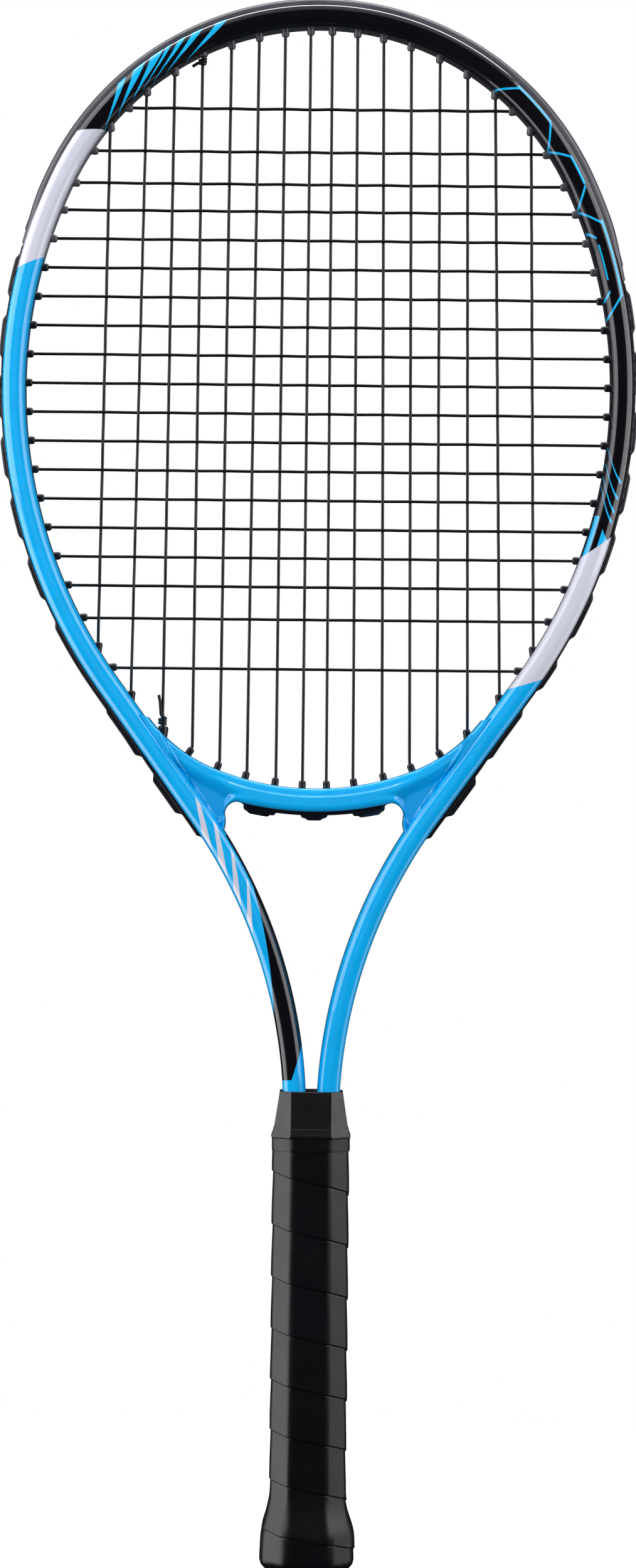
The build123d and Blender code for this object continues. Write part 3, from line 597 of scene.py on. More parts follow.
def lane_points(first, last, lane):
    """Corner points between two holes on the outside, kept clear of the holes passed."""
    if lane == 0:
        return []
    s_a, s_b = PORTS[first]["s"], PORTS[last]["s"]
    step = math.copysign(LANE_RUN, s_b - s_a)
    passed = [p["s"] for p in PORTS.values() if "s" in p and min(s_a, s_b) < p["s"] < max(s_a, s_b)]
    inner = [s for s in passed if min(abs(s - s_a), abs(s - s_b)) > 2 * LANE_RUN]
    stops = [s_a + step] + sorted(inner, reverse=s_b < s_a) + [s_b - step]
    return [place(s, OUT_OFFSET, lane) for s in stops]


# ---- string bed
def main_x(number, z):
    """X of a main string at a height between its two bends."""
    top = PORTS[f"main_{number}_crown"]["points"][0]
    bottom = PORTS[f"main_{number}_throat"]["points"][0]
    return mix(bottom.x, top.x, (z - bottom.z) / (top.z - bottom.z))


def cross_end(number, side):
    return PORTS[f"cross_{number}_{side}"]["points"][0]


def crosses_met(main):
    """Numbers of the crosses that a main passes, from the throat up."""
    met = []
    top = PORTS[f"main_{main}_crown"]["points"][0].z
    bottom = PORTS[f"main_{main}_throat"]["points"][0].z
    for number, z in enumerate(cross_heights(), 1):
        inside = cross_end(number, "left").x + 1 < main_x(main, z) < cross_end(number, "right").x - 1
        if inside and bottom + 1 < z < top - 1:
            met.append(number)
    return met[::-1]


def front_or_back(main, cross):
    """1 where the main passes behind the cross, -1 where it passes in front."""
    return -1 if (main + cross) % 2 else 1


def weave(start, end, crossings):
    """Points that swing between crossings, each (place along, side), as a held string does."""
    points = []
    knots = [(start, 0)] + crossings + [(end, 0)]
    for (a, side_a), (b, side_b) in zip(knots, knots[1:]):
        for i in range(WEAVE_STEPS):
            share = i / WEAVE_STEPS
            swing = mix(side_a, side_b, (1 - math.cos(math.pi * share)) / 2)
            points.append(a + (b - a) * share + Vector((0, swing * WEAVE_SWING, 0)))
    return points[1:]


def main_points(main, upwards):
    """A main string between its two holes, swinging past each cross."""
    bottom = PORTS[f"main_{main}_throat"]["points"][0]
    top = PORTS[f"main_{main}_crown"]["points"][0]
    heights = cross_heights()
    crossings = []
    for cross in crosses_met(main):
        z = heights[cross - 1]
        crossings.append((Vector((main_x(main, z), 0, z)), front_or_back(main, cross)))
    points = weave(bottom, top, crossings)
    return points if upwards else points[::-1]


def cross_points(cross, rightwards):
    """A cross string between its two holes, swinging past each main."""
    left = cross_end(cross, "left")
    right = cross_end(cross, "right")
    crossings = []
    for main in range(1, 17):
        if cross in crosses_met(main):
            x = main_x(main, left.z)
            crossings.append((Vector((x, 0, left.z)), -front_or_back(main, cross)))
    points = weave(left, right, crossings)
    return points if rightwards else points[::-1]


def port_corners(name):
    """Bend points of a hole, inside first; a shared hole holds its main string off centre."""
    points = PORTS[name]["points"]
    if name not in TIE_PORTS:
        return points
    aside = Vector((0, TIE_ASIDE, 0))
    towards = 1 if name.endswith("throat") else -1
    return [points[0] + Vector((0, 0, towards * TIE_RETURN))] + [p + aside for p in points]


def tie_corners(name):
    """The tied end in its shared hole, from the knot to the outside."""
    points = PORTS[name]["points"]
    mouth = points[0] + (points[1] - points[0]).normalized() * BEND_STANDOFF / 2
    return [p - Vector((0, TIE_ASIDE, 0)) for p in [mouth] + points[1:]]


def run_corners(first, last):
    lane = next(r[2] for r in RUNS if r[:2] in ((first, last), (last, first)))
    return lane_points(first, last, lane)


def string_route():
    """Every corner of the string from one knot to the other, with how far back it bends."""
    route = []

    def follow(corners, bend=OUTER_BEND):
        route.extend((corner, bend) for corner in corners)

    def go_out_and_in(leaving, entering):
        follow(port_corners(leaving))
        follow(run_corners(leaving, entering))
        follow(port_corners(entering)[::-1])

    follow(tie_corners("main_3_throat"))
    follow(run_corners("main_3_throat", "main_1_throat"))
    follow(port_corners("main_1_throat")[::-1])
    for number in range(1, 17):
        upwards = number % 2 == 1
        follow(main_points(number, upwards), 0)
        if number < 16:
            end = "crown" if upwards else "throat"
            go_out_and_in(f"main_{number}_{end}", f"main_{number + 1}_{end}")
    go_out_and_in("main_16_throat", "cross_19_right")
    for number in range(19, 0, -1):
        rightwards = number % 2 == 0
        side = "right" if rightwards else "left"
        follow(cross_points(number, rightwards), 0)
        if number > 1:
            go_out_and_in(f"cross_{number}_{side}", f"cross_{number - 1}_{side}")
    follow(port_corners("cross_1_left"))
    follow(run_corners("cross_1_left", "main_4_crown"))
    follow(tie_corners("main_4_crown")[::-1])
    return route


def rounded_path(route, steps=5):
    """The route with each corner replaced by a short bend that starts its own length before it."""
    points = [corner for corner, bend in route]
    path = [points[0]]
    for before, (corner, bend), after in zip(points, route[1:], points[2:]):
        cut = min(bend, 0.45 * (corner - before).length, 0.45 * (after - corner).length)
        if cut < 0.05:
            path.append(corner)
            continue
        start = corner + (before - corner).normalized() * cut
        end = corner + (after - corner).normalized() * cut
        for i in range(steps + 1):
            share = i / steps
            path.append(start * (1 - share) ** 2 + corner * 2 * share * (1 - share) + end * share ** 2)
    return path + [points[-1]]


def make_string(material):
    """The whole string as one cord."""
    path = rounded_path(string_route())
    thinned = [path[0]]
    for point in path[1:]:
        if (point - thinned[-1]).length > 0.12:
            thinned.append(point)
    cord = thread(thinned, STRING_LOOK_D / 2)
    return make_piece("string_bed", cord, material, ["string"])


def knot_path(name, turns, tail):
    """Hitches round the main string just inside the shared hole, then the cut end."""
    corner = PORTS[name]["points"][0]
    towards = Vector((0, 0, 1 if name.endswith("throat") else -1))
    corner = corner + towards * (TIE_REACH[name] + KNOT_CLEAR)
    path = [corner - towards * 2.4 + Vector((0, -TIE_ASIDE, 0))]
    for i in range(int(turns * KNOT_STEPS) + 1):
        angle = 2 * math.pi * i / KNOT_STEPS - math.pi / 2
        lift = i / KNOT_STEPS * KNOT_RISE - 0.1
        path.append(corner + towards * lift + Vector((math.cos(angle), math.sin(angle), 0)) * KNOT_COIL)
    path += [corner + Vector(point) for point in tail]
    return rounded_path([(point, 0.5) for point in path], 3)


def make_knots(material):
    for label, hole, turns, tail in (("lower", "main_3_throat", LOWER_KNOT_TURNS, LOWER_TAIL),
                                     ("upper", "main_4_crown", UPPER_KNOT_TURNS, UPPER_TAIL)):
        cord = thread(knot_path(hole, turns, tail), STRING_LOOK_D / 2)
        make_piece(f"knot_{label}", cord, material, [f"string_knot_{label}"])


# ---- tube and bridge
def make_tube(material):
    """Skin of the bent tube, with fields that place the paint."""
    section = rounded_box(TUBE_WIDTH, TUBE_DEPTH, TUBE_CORNER, 9)
    lengths = stations(-TUBE_HALF_LENGTH, TUBE_HALF_LENGTH, 2.5)
    rings = []
    along = []
    across = []
    for s in lengths:
        point, normal, travel = spot(s)
        rings.append([point + normal * n + Vector((0, y, 0)) for n, y in section])
        along.extend([s] * len(section))
        across.extend(n for n, y in section)
    return make_piece("frame_tube_skin", skin(rings), material, ["frame_tube"],
                      {"along": along, "across": across})


def under_point(x, drop=0.0):
    """Point a little below the underside of the bridge."""
    angle = math.asin(x / BRIDGE_UNDER_RADIUS)
    radius = BRIDGE_UNDER_RADIUS + drop
    centre_z = BRIDGE_UNDER_Z + BRIDGE_UNDER_RADIUS
    return Vector((radius * math.sin(angle), 0, centre_z - radius * math.cos(angle)))


def bridge_outer(angle):
    """Outer edge of the right half of the bridge that faces an arch angle in degrees."""
    fillet_x = HORN_INNER_X - HORN_FILLET
    fillet_start = under_point(fillet_x)
    centre = fillet_start - Vector((0, 0, HORN_FILLET))
    side_top = centre + Vector((HORN_FILLET, 0, 0))
    tip = Vector((HORN_TIP[0], 0, HORN_TIP[1]))
    ridge = Vector((RIDGE_LOW[0], 0, RIDGE_LOW[1]))
    end = arch_point(math.radians(ARCH_END_TURN)) + Vector((3.8, 0, 1.1))
    if angle < UNDER_END:
        return under_point(fillet_x * angle / UNDER_END)
    if angle < FILLET_END:
        turn = math.radians(90 * (FILLET_END - angle) / (FILLET_END - UNDER_END))
        return centre + Vector((math.cos(turn), 0, math.sin(turn))) * HORN_FILLET
    if angle < HORN_SIDE_END:
        share = (angle - FILLET_END) / (HORN_SIDE_END - FILLET_END)
        bow = 0.7 * math.sin(math.pi * share)
        return side_top.lerp(tip - Vector((0.9, 0, -0.9)), share) - Vector((bow, 0, 0))
    if angle < HORN_TIP_END:
        turn = math.radians(mix(200, 330, (angle - HORN_SIDE_END) / (HORN_TIP_END - HORN_SIDE_END)))
        return tip + Vector((math.cos(turn), 0, math.sin(turn))) * 1.0 + Vector((0.1, 0, 0.7))
    if angle < HORN_BACK_END:
        share = (angle - HORN_TIP_END) / (HORN_BACK_END - HORN_TIP_END)
        return (tip + Vector((1.0, 0, 0.3))).lerp(ridge, share)
    return ridge.lerp(end, (angle - HORN_BACK_END) / (ARCH_END_TURN - HORN_BACK_END))


def web_depth(inner, outer, angle):
    """How far a point is in the hollow web beside the horn, from 0 to 1; it sinks the web and also sets its
    painted shade.
    """
    return (smoothstep(*WEB_ANGLES, angle) * smoothstep(*WEB_FROM_ARCH, inner)
            * smoothstep(*WEB_FROM_EDGE, outer))


def round_off(distance, radius):
    """How much a rounded edge takes off at a distance from that edge."""
    if distance >= radius:
        return 0.0
    return radius - math.sqrt(max(0.0, radius ** 2 - (radius - distance) ** 2))


def bridge_half_depth(inner, outer, angle):
    """Half thickness at distances from the arch edge and from the outer edge."""
    depth = BRIDGE_DEPTH / 2
    depth -= round_off(inner, BRIDGE_INNER_ROUND)
    depth -= round_off(outer, BRIDGE_OUTER_ROUND * (1 - smoothstep(*ROUND_FADE, angle)))
    shelf = 1 - smoothstep(SHELF_WIDTH, SHELF_WIDTH + SHELF_EDGE, inner)
    depth -= SHELF_DROP * shelf * (1 - smoothstep(*SHELF_FADE, angle))
    depth -= WEB_SINK * web_depth(inner, outer, angle)
    fold = smoothstep(FILLET_END, HORN_TIP_END, angle) * math.exp(-(outer - FOLD_FROM_EDGE) ** 2)
    return depth + FOLD_HEIGHT * fold


def bridge_ring(angle, side):
    """Closed ring across the bridge, front then back, and how far into the web each point lies, for the
    web's painted shade.
    """
    start = arch_point(math.radians(angle))
    end = bridge_outer(angle)
    width = (end - start).length
    front = []
    back = []
    sunk = []
    for share in BRIDGE_SHARES:
        point = start.lerp(end, share)
        point.x *= side
        depth = bridge_half_depth(share * width, (1 - share) * width, angle)
        front.append(point - Vector((0, depth, 0)))
        back.append(point + Vector((0, depth, 0)))
        sunk.append(web_depth(share * width, (1 - share) * width, angle))
    return front + back[::-1], sunk + sunk[::-1]


def make_bridge(material):
    coarse = [0.5 * k for k in range(int(2 * ARCH_END_TURN) + 1)]
    round_the_horn = [15 + 0.2 * k for k in range(66)]
    angles = sorted(set(round(angle, 2) for angle in coarse + round_the_horn))
    cuts = [bridge_ring(a, -1) for a in angles[::-1]] + [bridge_ring(a, 1) for a in angles[1:]]
    rings = [ring for ring, sunk in cuts]
    sunk = [value for ring, values in cuts for value in values]
    # The field passed here masks the painted shade of the hollow webs
    return make_piece("throat_bridge_skin", skin(rings), material, ["throat_bridge"],
                      {"sunk": sunk}, crease=60)


# ---- grommets
def barrel_profile(outer, bore, length, buried):
    """Loop of (radius, height) for a blunt barrel with a rounded mouth."""
    return [
        (outer + 0.05, -buried), (outer + 0.05, 0.35), (outer, 0.6), (outer + 0.03, length - 1.2),
        (outer - 0.03, length - 0.85), (outer - 0.15, length - 0.5), (outer - 0.36, length - 0.2),
        (outer - 0.62, length), (bore + 0.1, length), (bore, length - 0.12), (bore, -buried),
    ]


def barrel_size(name):
    """Outer and bore radius of a barrel; the two tie holes have wider ones."""
    return (TIE_BARREL_D / 2, TIE_BORE_D / 2) if name in TIE_PORTS else (BARREL_D / 2, BORE_D / 2)


def tube_barrel(name):
    """Barrel on the inner side of the tube that leans towards the way its string runs."""
    port = PORTS[name]
    point, normal, travel = spot(port["s"])
    outer, bore = barrel_size(name)
    outer += BARREL_SWELL
    string_way = Vector((-math.copysign(1, point.x), 0, 0))
    if name.startswith("main"):
        string_way = Vector((0, 0, 1 if name.endswith("throat") else -1))
    axis = (string_way - normal * BARREL_LEAN).normalized()
    buried = 1.0 + 1.2 * outer * math.tan(min(axis.angle(-normal), 1.1))
    length = TIE_REACH.get(name, BARREL_REACH + SKIN_DIP + 0.3)
    return lathe(port["points"][0], axis, barrel_profile(outer, bore, length, buried))


def bridge_barrel(name):
    port = PORTS[name]
    outer, bore = barrel_size(name)
    profile = barrel_profile(outer + BRIDGE_BARREL_SWELL, bore, BRIDGE_REACH, BRIDGE_BARREL_BURIED)
    return lathe(port["surface"], -port["out"], profile)


def ports_between(s_first, s_last):
    return [name for name, port in PORTS.items()
            if port["kind"] == "tube" and s_first < port["s"] < s_last]


def strip_section(height, groove):
    """Closed (outwards, y) section of a strip with two ribs of that height beside the groove."""
    top = HALF_W + STRIP_THICK
    low = HALF_W - 0.2
    half = STRIP_WIDTH / 2
    inner = groove / 2
    outer = inner + RIB_WIDTH
    soft = min(0.35, height / 2)
    one_side = [(low, half), (top - 0.25, half), (top, half - 0.25), (top, outer + 0.05),
                (top + height - soft, outer), (top + height, outer - 0.35), (top + height, inner + 0.35),
                (top + height - soft, inner), (top, inner - 0.02)]
    return one_side + [(n, -y) for n, y in one_side[::-1]]


def run_height(s, runs):
    """Rib height and groove at a length, from the runs of string that the strip guards."""
    best = (0.0, NARROW_GROOVE)
    for low, high, height, groove in runs:
        ramp = min(0.4 * (high - low), RIB_RAMP)
        here = height * smoothstep(low, low + ramp, s) * (1 - smoothstep(high - ramp, high, s))
        if here > best[0]:
            best = (here, groove)
    return best


def strip_runs(inside):
    """(first place, last place, rib height, groove) for each run of string over a strip."""
    runs = []
    for first, last, lane in RUNS:
        if "s" in PORTS[first] and "s" in PORTS[last] and first in inside and last in inside:
            low_run = PORTS[first]["kind"] == "shoulder" or first.endswith("throat") and lane > 0
            groove = WIDE_GROOVE if lane or first in TIE_PORTS or last in TIE_PORTS else NARROW_GROOVE
            ends = sorted((PORTS[first]["s"], PORTS[last]["s"]))
            height = LOW_RIB_HEIGHT if low_run else RIB_HEIGHT
            runs.append((ends[0] - RIB_OVERRUN, ends[1] + RIB_OVERRUN, height, groove))
    return runs


def make_strip(side, material):
    """One side grommet strip: band, ribs beside each run and barrels."""
    start = BUMPER_END_RIGHT if side > 0 else BUMPER_END_LEFT
    span = sorted((side * start, side * STRIP_END))
    inside = [n for n, p in PORTS.items() if "s" in p and span[0] < p["s"] < span[1]]
    runs = strip_runs(inside)
    rings = []
    for s in stations(span[0], span[1], 0.8):
        point, normal, travel = spot(s)
        height, groove = run_height(s, runs)
        shrink = smoothstep(0, STRIP_TAPER, min(s - span[0], span[1] - s))
        thick = LOW_STRIP_EXTRA * smoothstep(*LOW_STRIP_FROM, abs(s))
        ring = []
        for n, y in strip_section(height, groove):
            lifted = HALF_W - 0.2 + (n - HALF_W + 0.2) * mix(0.4, 1, shrink)
            lifted += thick * shrink if n > HALF_W else 0
            ring.append(point + normal * lifted + Vector((0, y * mix(0.82, 1, shrink), 0)))
        rings.append(ring)
    parts = [skin(rings)] + [tube_barrel(name) for name in ports_between(*span)]
    label = "right" if side > 0 else "left"
    return make_piece(f"strip_{label}", join(parts), material, [f"grommet_strip_{label}"])


def bumper_section(share):
    """Closed (outwards, y) section of the bumper; share goes from 0 at an end to 1."""
    top = HALF_W + mix(STRIP_THICK + 0.5, BUMPER_THICK, share)
    floor = HALF_W + BUMPER_FLOOR
    edge = HALF_W - BUMPER_WRAP
    half = BUMPER_DEPTH / 2
    inner = WIDE_GROOVE / 2
    tube_flat = HALF_D - TUBE_CORNER
    tube_round = TUBE_CORNER * (1 - math.cos(math.asin((half - 1.2 - tube_flat) / TUBE_CORNER)))
    one_side = [(HALF_W - 0.1, 0.0), (HALF_W - 0.1, tube_flat), (HALF_W - 0.1 - tube_round, half - 1.2),
                (edge - 0.15, half - 0.35), (edge + 0.15, half + 0.02), (edge + 0.6, half),
                (top - 1.9, half - 0.2), (top - 1.2, half - 0.65), (top - 0.65, half - 1.4),
                (top - 0.25, half - 2.4), (top - 0.04, half - 3.6), (top, inner + 0.5),
                (top - 0.12, inner + 0.2), (top - 0.4, inner), (floor, inner - 0.05)]
    return one_side + [(n, -y) for n, y in one_side[:0:-1]]


def make_bumper(material):
    """Bumper guard over the crown: a channel for the string runs, with its own barrels."""
    rings = []
    for s in stations(-BUMPER_END_LEFT, BUMPER_END_RIGHT, 1.6):
        point, normal, travel = spot(s)
        end = min(s + BUMPER_END_LEFT, BUMPER_END_RIGHT - s)
        section = bumper_section(smoothstep(0, BUMPER_TAPER, end))
        rings.append([point + normal * n + Vector((0, y * mix(0.72, 1, smoothstep(0, 18, end)), 0))
                      for n, y in section])
    parts = [skin(rings)]
    parts += [tube_barrel(name) for name in ports_between(-BUMPER_END_LEFT, BUMPER_END_RIGHT)]
    return make_piece("bumper", join(parts), material, ["bumper_guard"])


def bridge_strip_section(height):
    """Closed (downwards, y) section of the strip under the bridge."""
    half = STRIP_WIDTH / 2
    inner = NARROW_GROOVE / 2
    outer = inner + RIB_WIDTH
    top = BRIDGE_STRIP_THICK
    one_side = [(-0.5, half), (top - 0.5, half), (top, half - 0.4), (top + height * 0.55, outer + 0.8),
                (top + height * 0.93, outer), (top + height, outer - 0.5), (top + height, inner + 0.25),
                (top + height * 0.9, inner), (top - 0.3 * height, inner - 0.04)]
    return one_side + [(n, -y) for n, y in one_side[::-1]]


def make_bridge_strip(material):
    """Strip under the bridge with its six barrels and three smooth bumps."""
    runs = []
    for first, last, lane in RUNS:
        if PORTS[first]["kind"] == "bridge" and PORTS[last]["kind"] == "bridge":
            ends = sorted((PORTS[first]["points"][1].x, PORTS[last]["points"][1].x))
            runs.append((ends[0] - BRIDGE_RIB_OVERRUN, ends[1] + BRIDGE_RIB_OVERRUN,
                         BRIDGE_RIB_HEIGHT, NARROW_GROOVE))
    rings = []
    for x in stations(-BRIDGE_STRIP_HALF, BRIDGE_STRIP_HALF, 0.5):
        height, groove = run_height(x, runs)
        shrink = mix(0.04, 1, smoothstep(0, 3.5, BRIDGE_STRIP_HALF - abs(x)))
        rings.append([under_point(x, drop * shrink) + Vector((0, y * mix(0.8, 1, shrink), 0))
                      for drop, y in bridge_strip_section(height)])
    parts = [skin(rings)] + [bridge_barrel(name) for name, p in PORTS.items() if p["kind"] == "bridge"]
    return make_piece("bridge_strip", join(parts), material, ["bridge_grommet_strip"])


def make_bushes(material):
    parts = [bridge_barrel(name) for name, p in PORTS.items() if p["kind"] == "shoulder"]
    return make_piece("bushes", join(parts), material, ["shoulder_bushes"])


# ---- handle
def octagon_outline(width, depth, flat, corner, per_corner=4, per_side=4):
    """Rounded octagon as (point, outward normal) pairs, from the middle of the left side to the front."""
    bevel = (width - flat) / 2
    x0, x1 = flat / 2, width / 2
    y0, y1 = depth / 2 - bevel, depth / 2
    corners = [(-x1, -y0), (-x0, -y1), (x0, -y1), (x1, -y0), (x1, y0), (x0, y1), (-x0, y1), (-x1, y0)]
    arcs = []
    for k, (cx, cy) in enumerate(corners):
        into = Vector((cx - corners[k - 1][0], cy - corners[k - 1][1])).normalized()
        onward = Vector((corners[(k + 1) % 8][0] - cx, corners[(k + 1) % 8][1] - cy)).normalized()
        normal_a = Vector((into.y, -into.x))
        normal_b = Vector((onward.y, -onward.x))
        half = into.angle(onward) / 2
        centre = Vector((cx, cy)) - (normal_a + normal_b).normalized() * corner / math.cos(half)
        arc = []
        for i in range(per_corner + 1):
            normal = normal_a.lerp(normal_b, i / per_corner).normalized()
            arc.append((centre + normal * corner, normal))
        arcs.append(arc)
    outline = []
    for k, arc in enumerate(arcs):
        outline.extend(arc)
        start, end = arc[-1], arcs[(k + 1) % 8][0]
        for i in range(1, per_side):
            outline.append((start[0].lerp(end[0], i / per_side), start[1]))
    turn = per_side // 2
    return outline[-turn:] + outline[:-turn]


def octagon_ring(outline, z, extra):
    """The outline grown by extra at a height; extra may be a number for each point."""
    if not isinstance(extra, list):
        extra = [extra] * len(outline)
    ring = []
    for (point, normal), grow in zip(outline, extra):
        grown = point + normal * grow
        ring.append(Vector((grown.x, grown.y, z)))
    return ring


def level_at(levels, z):
    """Smooth value through (z, value) levels, with no overshoot."""
    z = min(max(z, levels[0][0]), levels[-1][0])
    slopes = [(b[1] - a[1]) / (b[0] - a[0]) for a, b in zip(levels, levels[1:])]
    for k, (a, b) in enumerate(zip(levels, levels[1:])):
        if z <= b[0]:
            break

    def tangent(i):
        if i == 0 or i == len(levels) - 1:
            return slopes[min(i, len(slopes) - 1)]
        before, after = slopes[i - 1], slopes[i]
        return 0.0 if before * after <= 0 else 2 * before * after / (before + after)

    span = b[0] - a[0]
    t = (z - a[0]) / span
    return (a[1] * (2 * t ** 3 - 3 * t ** 2 + 1) + tangent(k) * span * (t ** 3 - 2 * t ** 2 + t)
            + b[1] * (3 * t ** 2 - 2 * t ** 3) + tangent(k + 1) * span * (t ** 3 - t ** 2))


PALLET = (GRIP_WIDTH - 2 * GRIP_THICK, GRIP_DEPTH - 2 * GRIP_THICK,
          GRIP_FLAT - 2 * GRIP_THICK * math.tan(math.radians(22.5)))


def seam_z(turns):
    """Height of the visible edge of the wound grip after so many turns."""
    return SEAM_FIRST_Z - SEAM_PITCH * turns + SEAM_EASE * turns * abs(turns)


def ribbon_lift(share, turns):
    """How far the ribbon stands out between one edge (0) and the next (1)."""
    wander = SEAM_WANDER * noise.noise(Vector((turns * 2.1, 3.7, 0.2)))
    swell = (SEAM_STEP + wander) * smoothstep(-0.25, 0.97, share)
    lip = SEAM_LIP * smoothstep(0.975, 1.0, share) ** 2
    crease = SEAM_CREASE * (1 - smoothstep(0.0, 0.012, share))
    return swell - lip - crease


def make_grip(material):
    """Cushioned ribbon wound up an octagonal handle, each turn over the one below."""
    outline = octagon_outline(*PALLET, corner=GRIP_CORNER, per_corner=7, per_side=4)
    around = len(outline)
    sides = [(outline[(k + 1) % around][0] - outline[k][0]).length for k in range(around)]
    shares_round = [sum(sides[:k]) / sum(sides) for k in range(around)]
    low, high = GRIP_LEVELS[0][0], GRIP_TOP_Z
    steps = (LAST_TURN - FIRST_TURN) * around
    vertices = []
    for step in range(steps):
        column = step % around
        turns = FIRST_TURN + step // around + shares_round[column]
        top, bottom = seam_z(turns), seam_z(turns + 1)
        for share in RIBBON_SHARES:
            z = mix(top, bottom, share)
            lift = ribbon_lift(share, turns)
            if not low <= z <= high:
                z = min(max(z, low), high)
                lift = ribbon_lift(*share_at(z, shares_round[column]))
            point, normal = outline[column]
            ripple = RIBBON_RIPPLE * noise.noise(Vector((point.x * 0.12, point.y * 0.12, z * 0.09)))
            grown = point + normal * (level_at(GRIP_LEVELS, z) - RIBBON_SINK + lift + ripple)
            vertices.append(Vector((grown.x, grown.y, z)))
    faces = []
    size = len(RIBBON_SHARES)
    for step in range(steps - around - 1):
        for k in range(size):
            a = step * size + k
            b = a + 1 if k < size - 1 else (step + around) * size
            faces.append((a, b, b + size, a + size))
    shape = close_ends(vertices, faces)
    grip = make_piece("grip", shape, material, ["grip_wrap"], crease=50)
    return grip


def share_at(z, share_round):
    """(share, turns) of the ribbon at a height, at a share of the way round the handle."""
    turns = FIRST_TURN + share_round
    while seam_z(turns + 1) > z:
        turns += 1
    top, bottom = seam_z(turns), seam_z(turns + 1)
    return (z - top) / (bottom - top), turns


def close_ends(vertices, faces):
    """Drops the flattened faces beyond each end and closes the two rims with flat caps."""
    work = bmesh.new()
    made = [work.verts.new(v) for v in vertices]
    for face in faces:
        heights = {round(vertices[i].z, 6) for i in face}
        if len(heights) > 1:
            work.faces.new([made[i] for i in face])
    bmesh.ops.remove_doubles(work, verts=work.verts, dist=1e-4)
    bmesh.ops.dissolve_degenerate(work, edges=work.edges, dist=1e-4)
    loose = [v for v in work.verts if not v.link_faces]
    bmesh.ops.delete(work, geom=loose, context="VERTS")
    rim = [e for e in work.edges if e.is_boundary]
    bmesh.ops.holes_fill(work, edges=rim, sides=0)
    work.verts.index_update()
    shape = [v.co.copy() for v in work.verts], [tuple(v.index for v in f.verts) for f in work.faces]
    work.free()
    return shape


def make_tape(material):
    """Glossy tape round the top of the grip, pulled tight, with its cut end behind."""
    outline = octagon_outline(*PALLET, corner=TAPE_CORNER, per_corner=7, per_side=6)
    thick = GRIP_THICK + TAPE_THICK
    rings = []
    for up, extra in TAPE_RIMS:
        z = TAPE_BOTTOM_Z + up
        grow = []
        for k, (point, normal) in enumerate(outline):
            wrinkle = TAPE_WRINKLE * noise.noise(Vector((point.x * 0.22, point.y * 0.22, z * 1.1)))
            end = TAPE_END_STEP if TAPE_END[0] < k / len(outline) < TAPE_END[1] else 0.0
            grow.append(thick + extra + wrinkle + end)
        sway = TAPE_SWAY * noise.noise(Vector((up, 0.5, 0.5)))
        rings.append(octagon_ring(outline, z + sway, grow))
    return make_piece("tape", skin(rings), material, ["finishing_tape"], crease=50)


def make_collar(material):
    """Tapered rubber sleeve with a rolled lip that grips the tape."""
    rings = []
    for up, extra, corner in COLLAR_RIMS:
        share = min(max(up / (COLLAR_TOP_Z - GRIP_TOP_Z), 0), 1)
        width = mix(GRIP_WIDTH, COLLAR_TOP_WIDTH, share)
        depth = mix(GRIP_DEPTH, COLLAR_TOP_DEPTH, share)
        outline = octagon_outline(width, depth, COLLAR_FLAT, corner, per_corner=3, per_side=6)
        rings.append(octagon_ring(outline, GRIP_TOP_Z + up, extra))
    return make_piece("collar", skin(rings), material, ["grip_collar"], crease=35)


# ---- materials
class Nodes:
    """One node tree and short ways to add nodes to it."""

    def __init__(self, tree):
        self.tree = tree

    def fill(self, socket, value):
        """Links a socket to another node's output, or sets its value."""
        if isinstance(value, bpy.types.NodeSocket):
            self.tree.links.new(value, socket)
        else:
            socket.default_value = value

    def node(self, kind, inputs=None, **settings):
        made = self.tree.nodes.new(kind)
        for label, value in settings.items():
            setattr(made, label, value)
        for label, value in (inputs or {}).items():
            self.fill(made.inputs[label], value)
        return made

    def math(self, operation, a, b=0.0, c=0.0):
        return self.node("ShaderNodeMath", {0: a, 1: b, 2: c}, operation=operation).outputs[0]

    def scaled(self, value, factor, base):
        """The base plus a factor times the value."""
        return self.math("MULTIPLY_ADD", value, factor, base)

    def less(self, value, limit):
        """1 where the value is under the limit."""
        return self.math("LESS_THAN", value, limit)

    def inside(self, value, low, high):
        """1 where low < value < high."""
        return self.both(self.math("GREATER_THAN", value, low), self.less(value, high))

    def near(self, value, centre, half_width):
        """1 where the value is less than a half width from the centre."""
        return self.less(self.math("ABSOLUTE", self.math("SUBTRACT", value, centre)), half_width)

    def both(self, a, b):
        return self.math("MULTIPLY", a, b)

    def any_of(self, hits):
        """1 where at least one of the hits is 1."""
        found = hits[0]
        for hit in hits[1:]:
            found = self.math("MAXIMUM", found, hit)
        return found


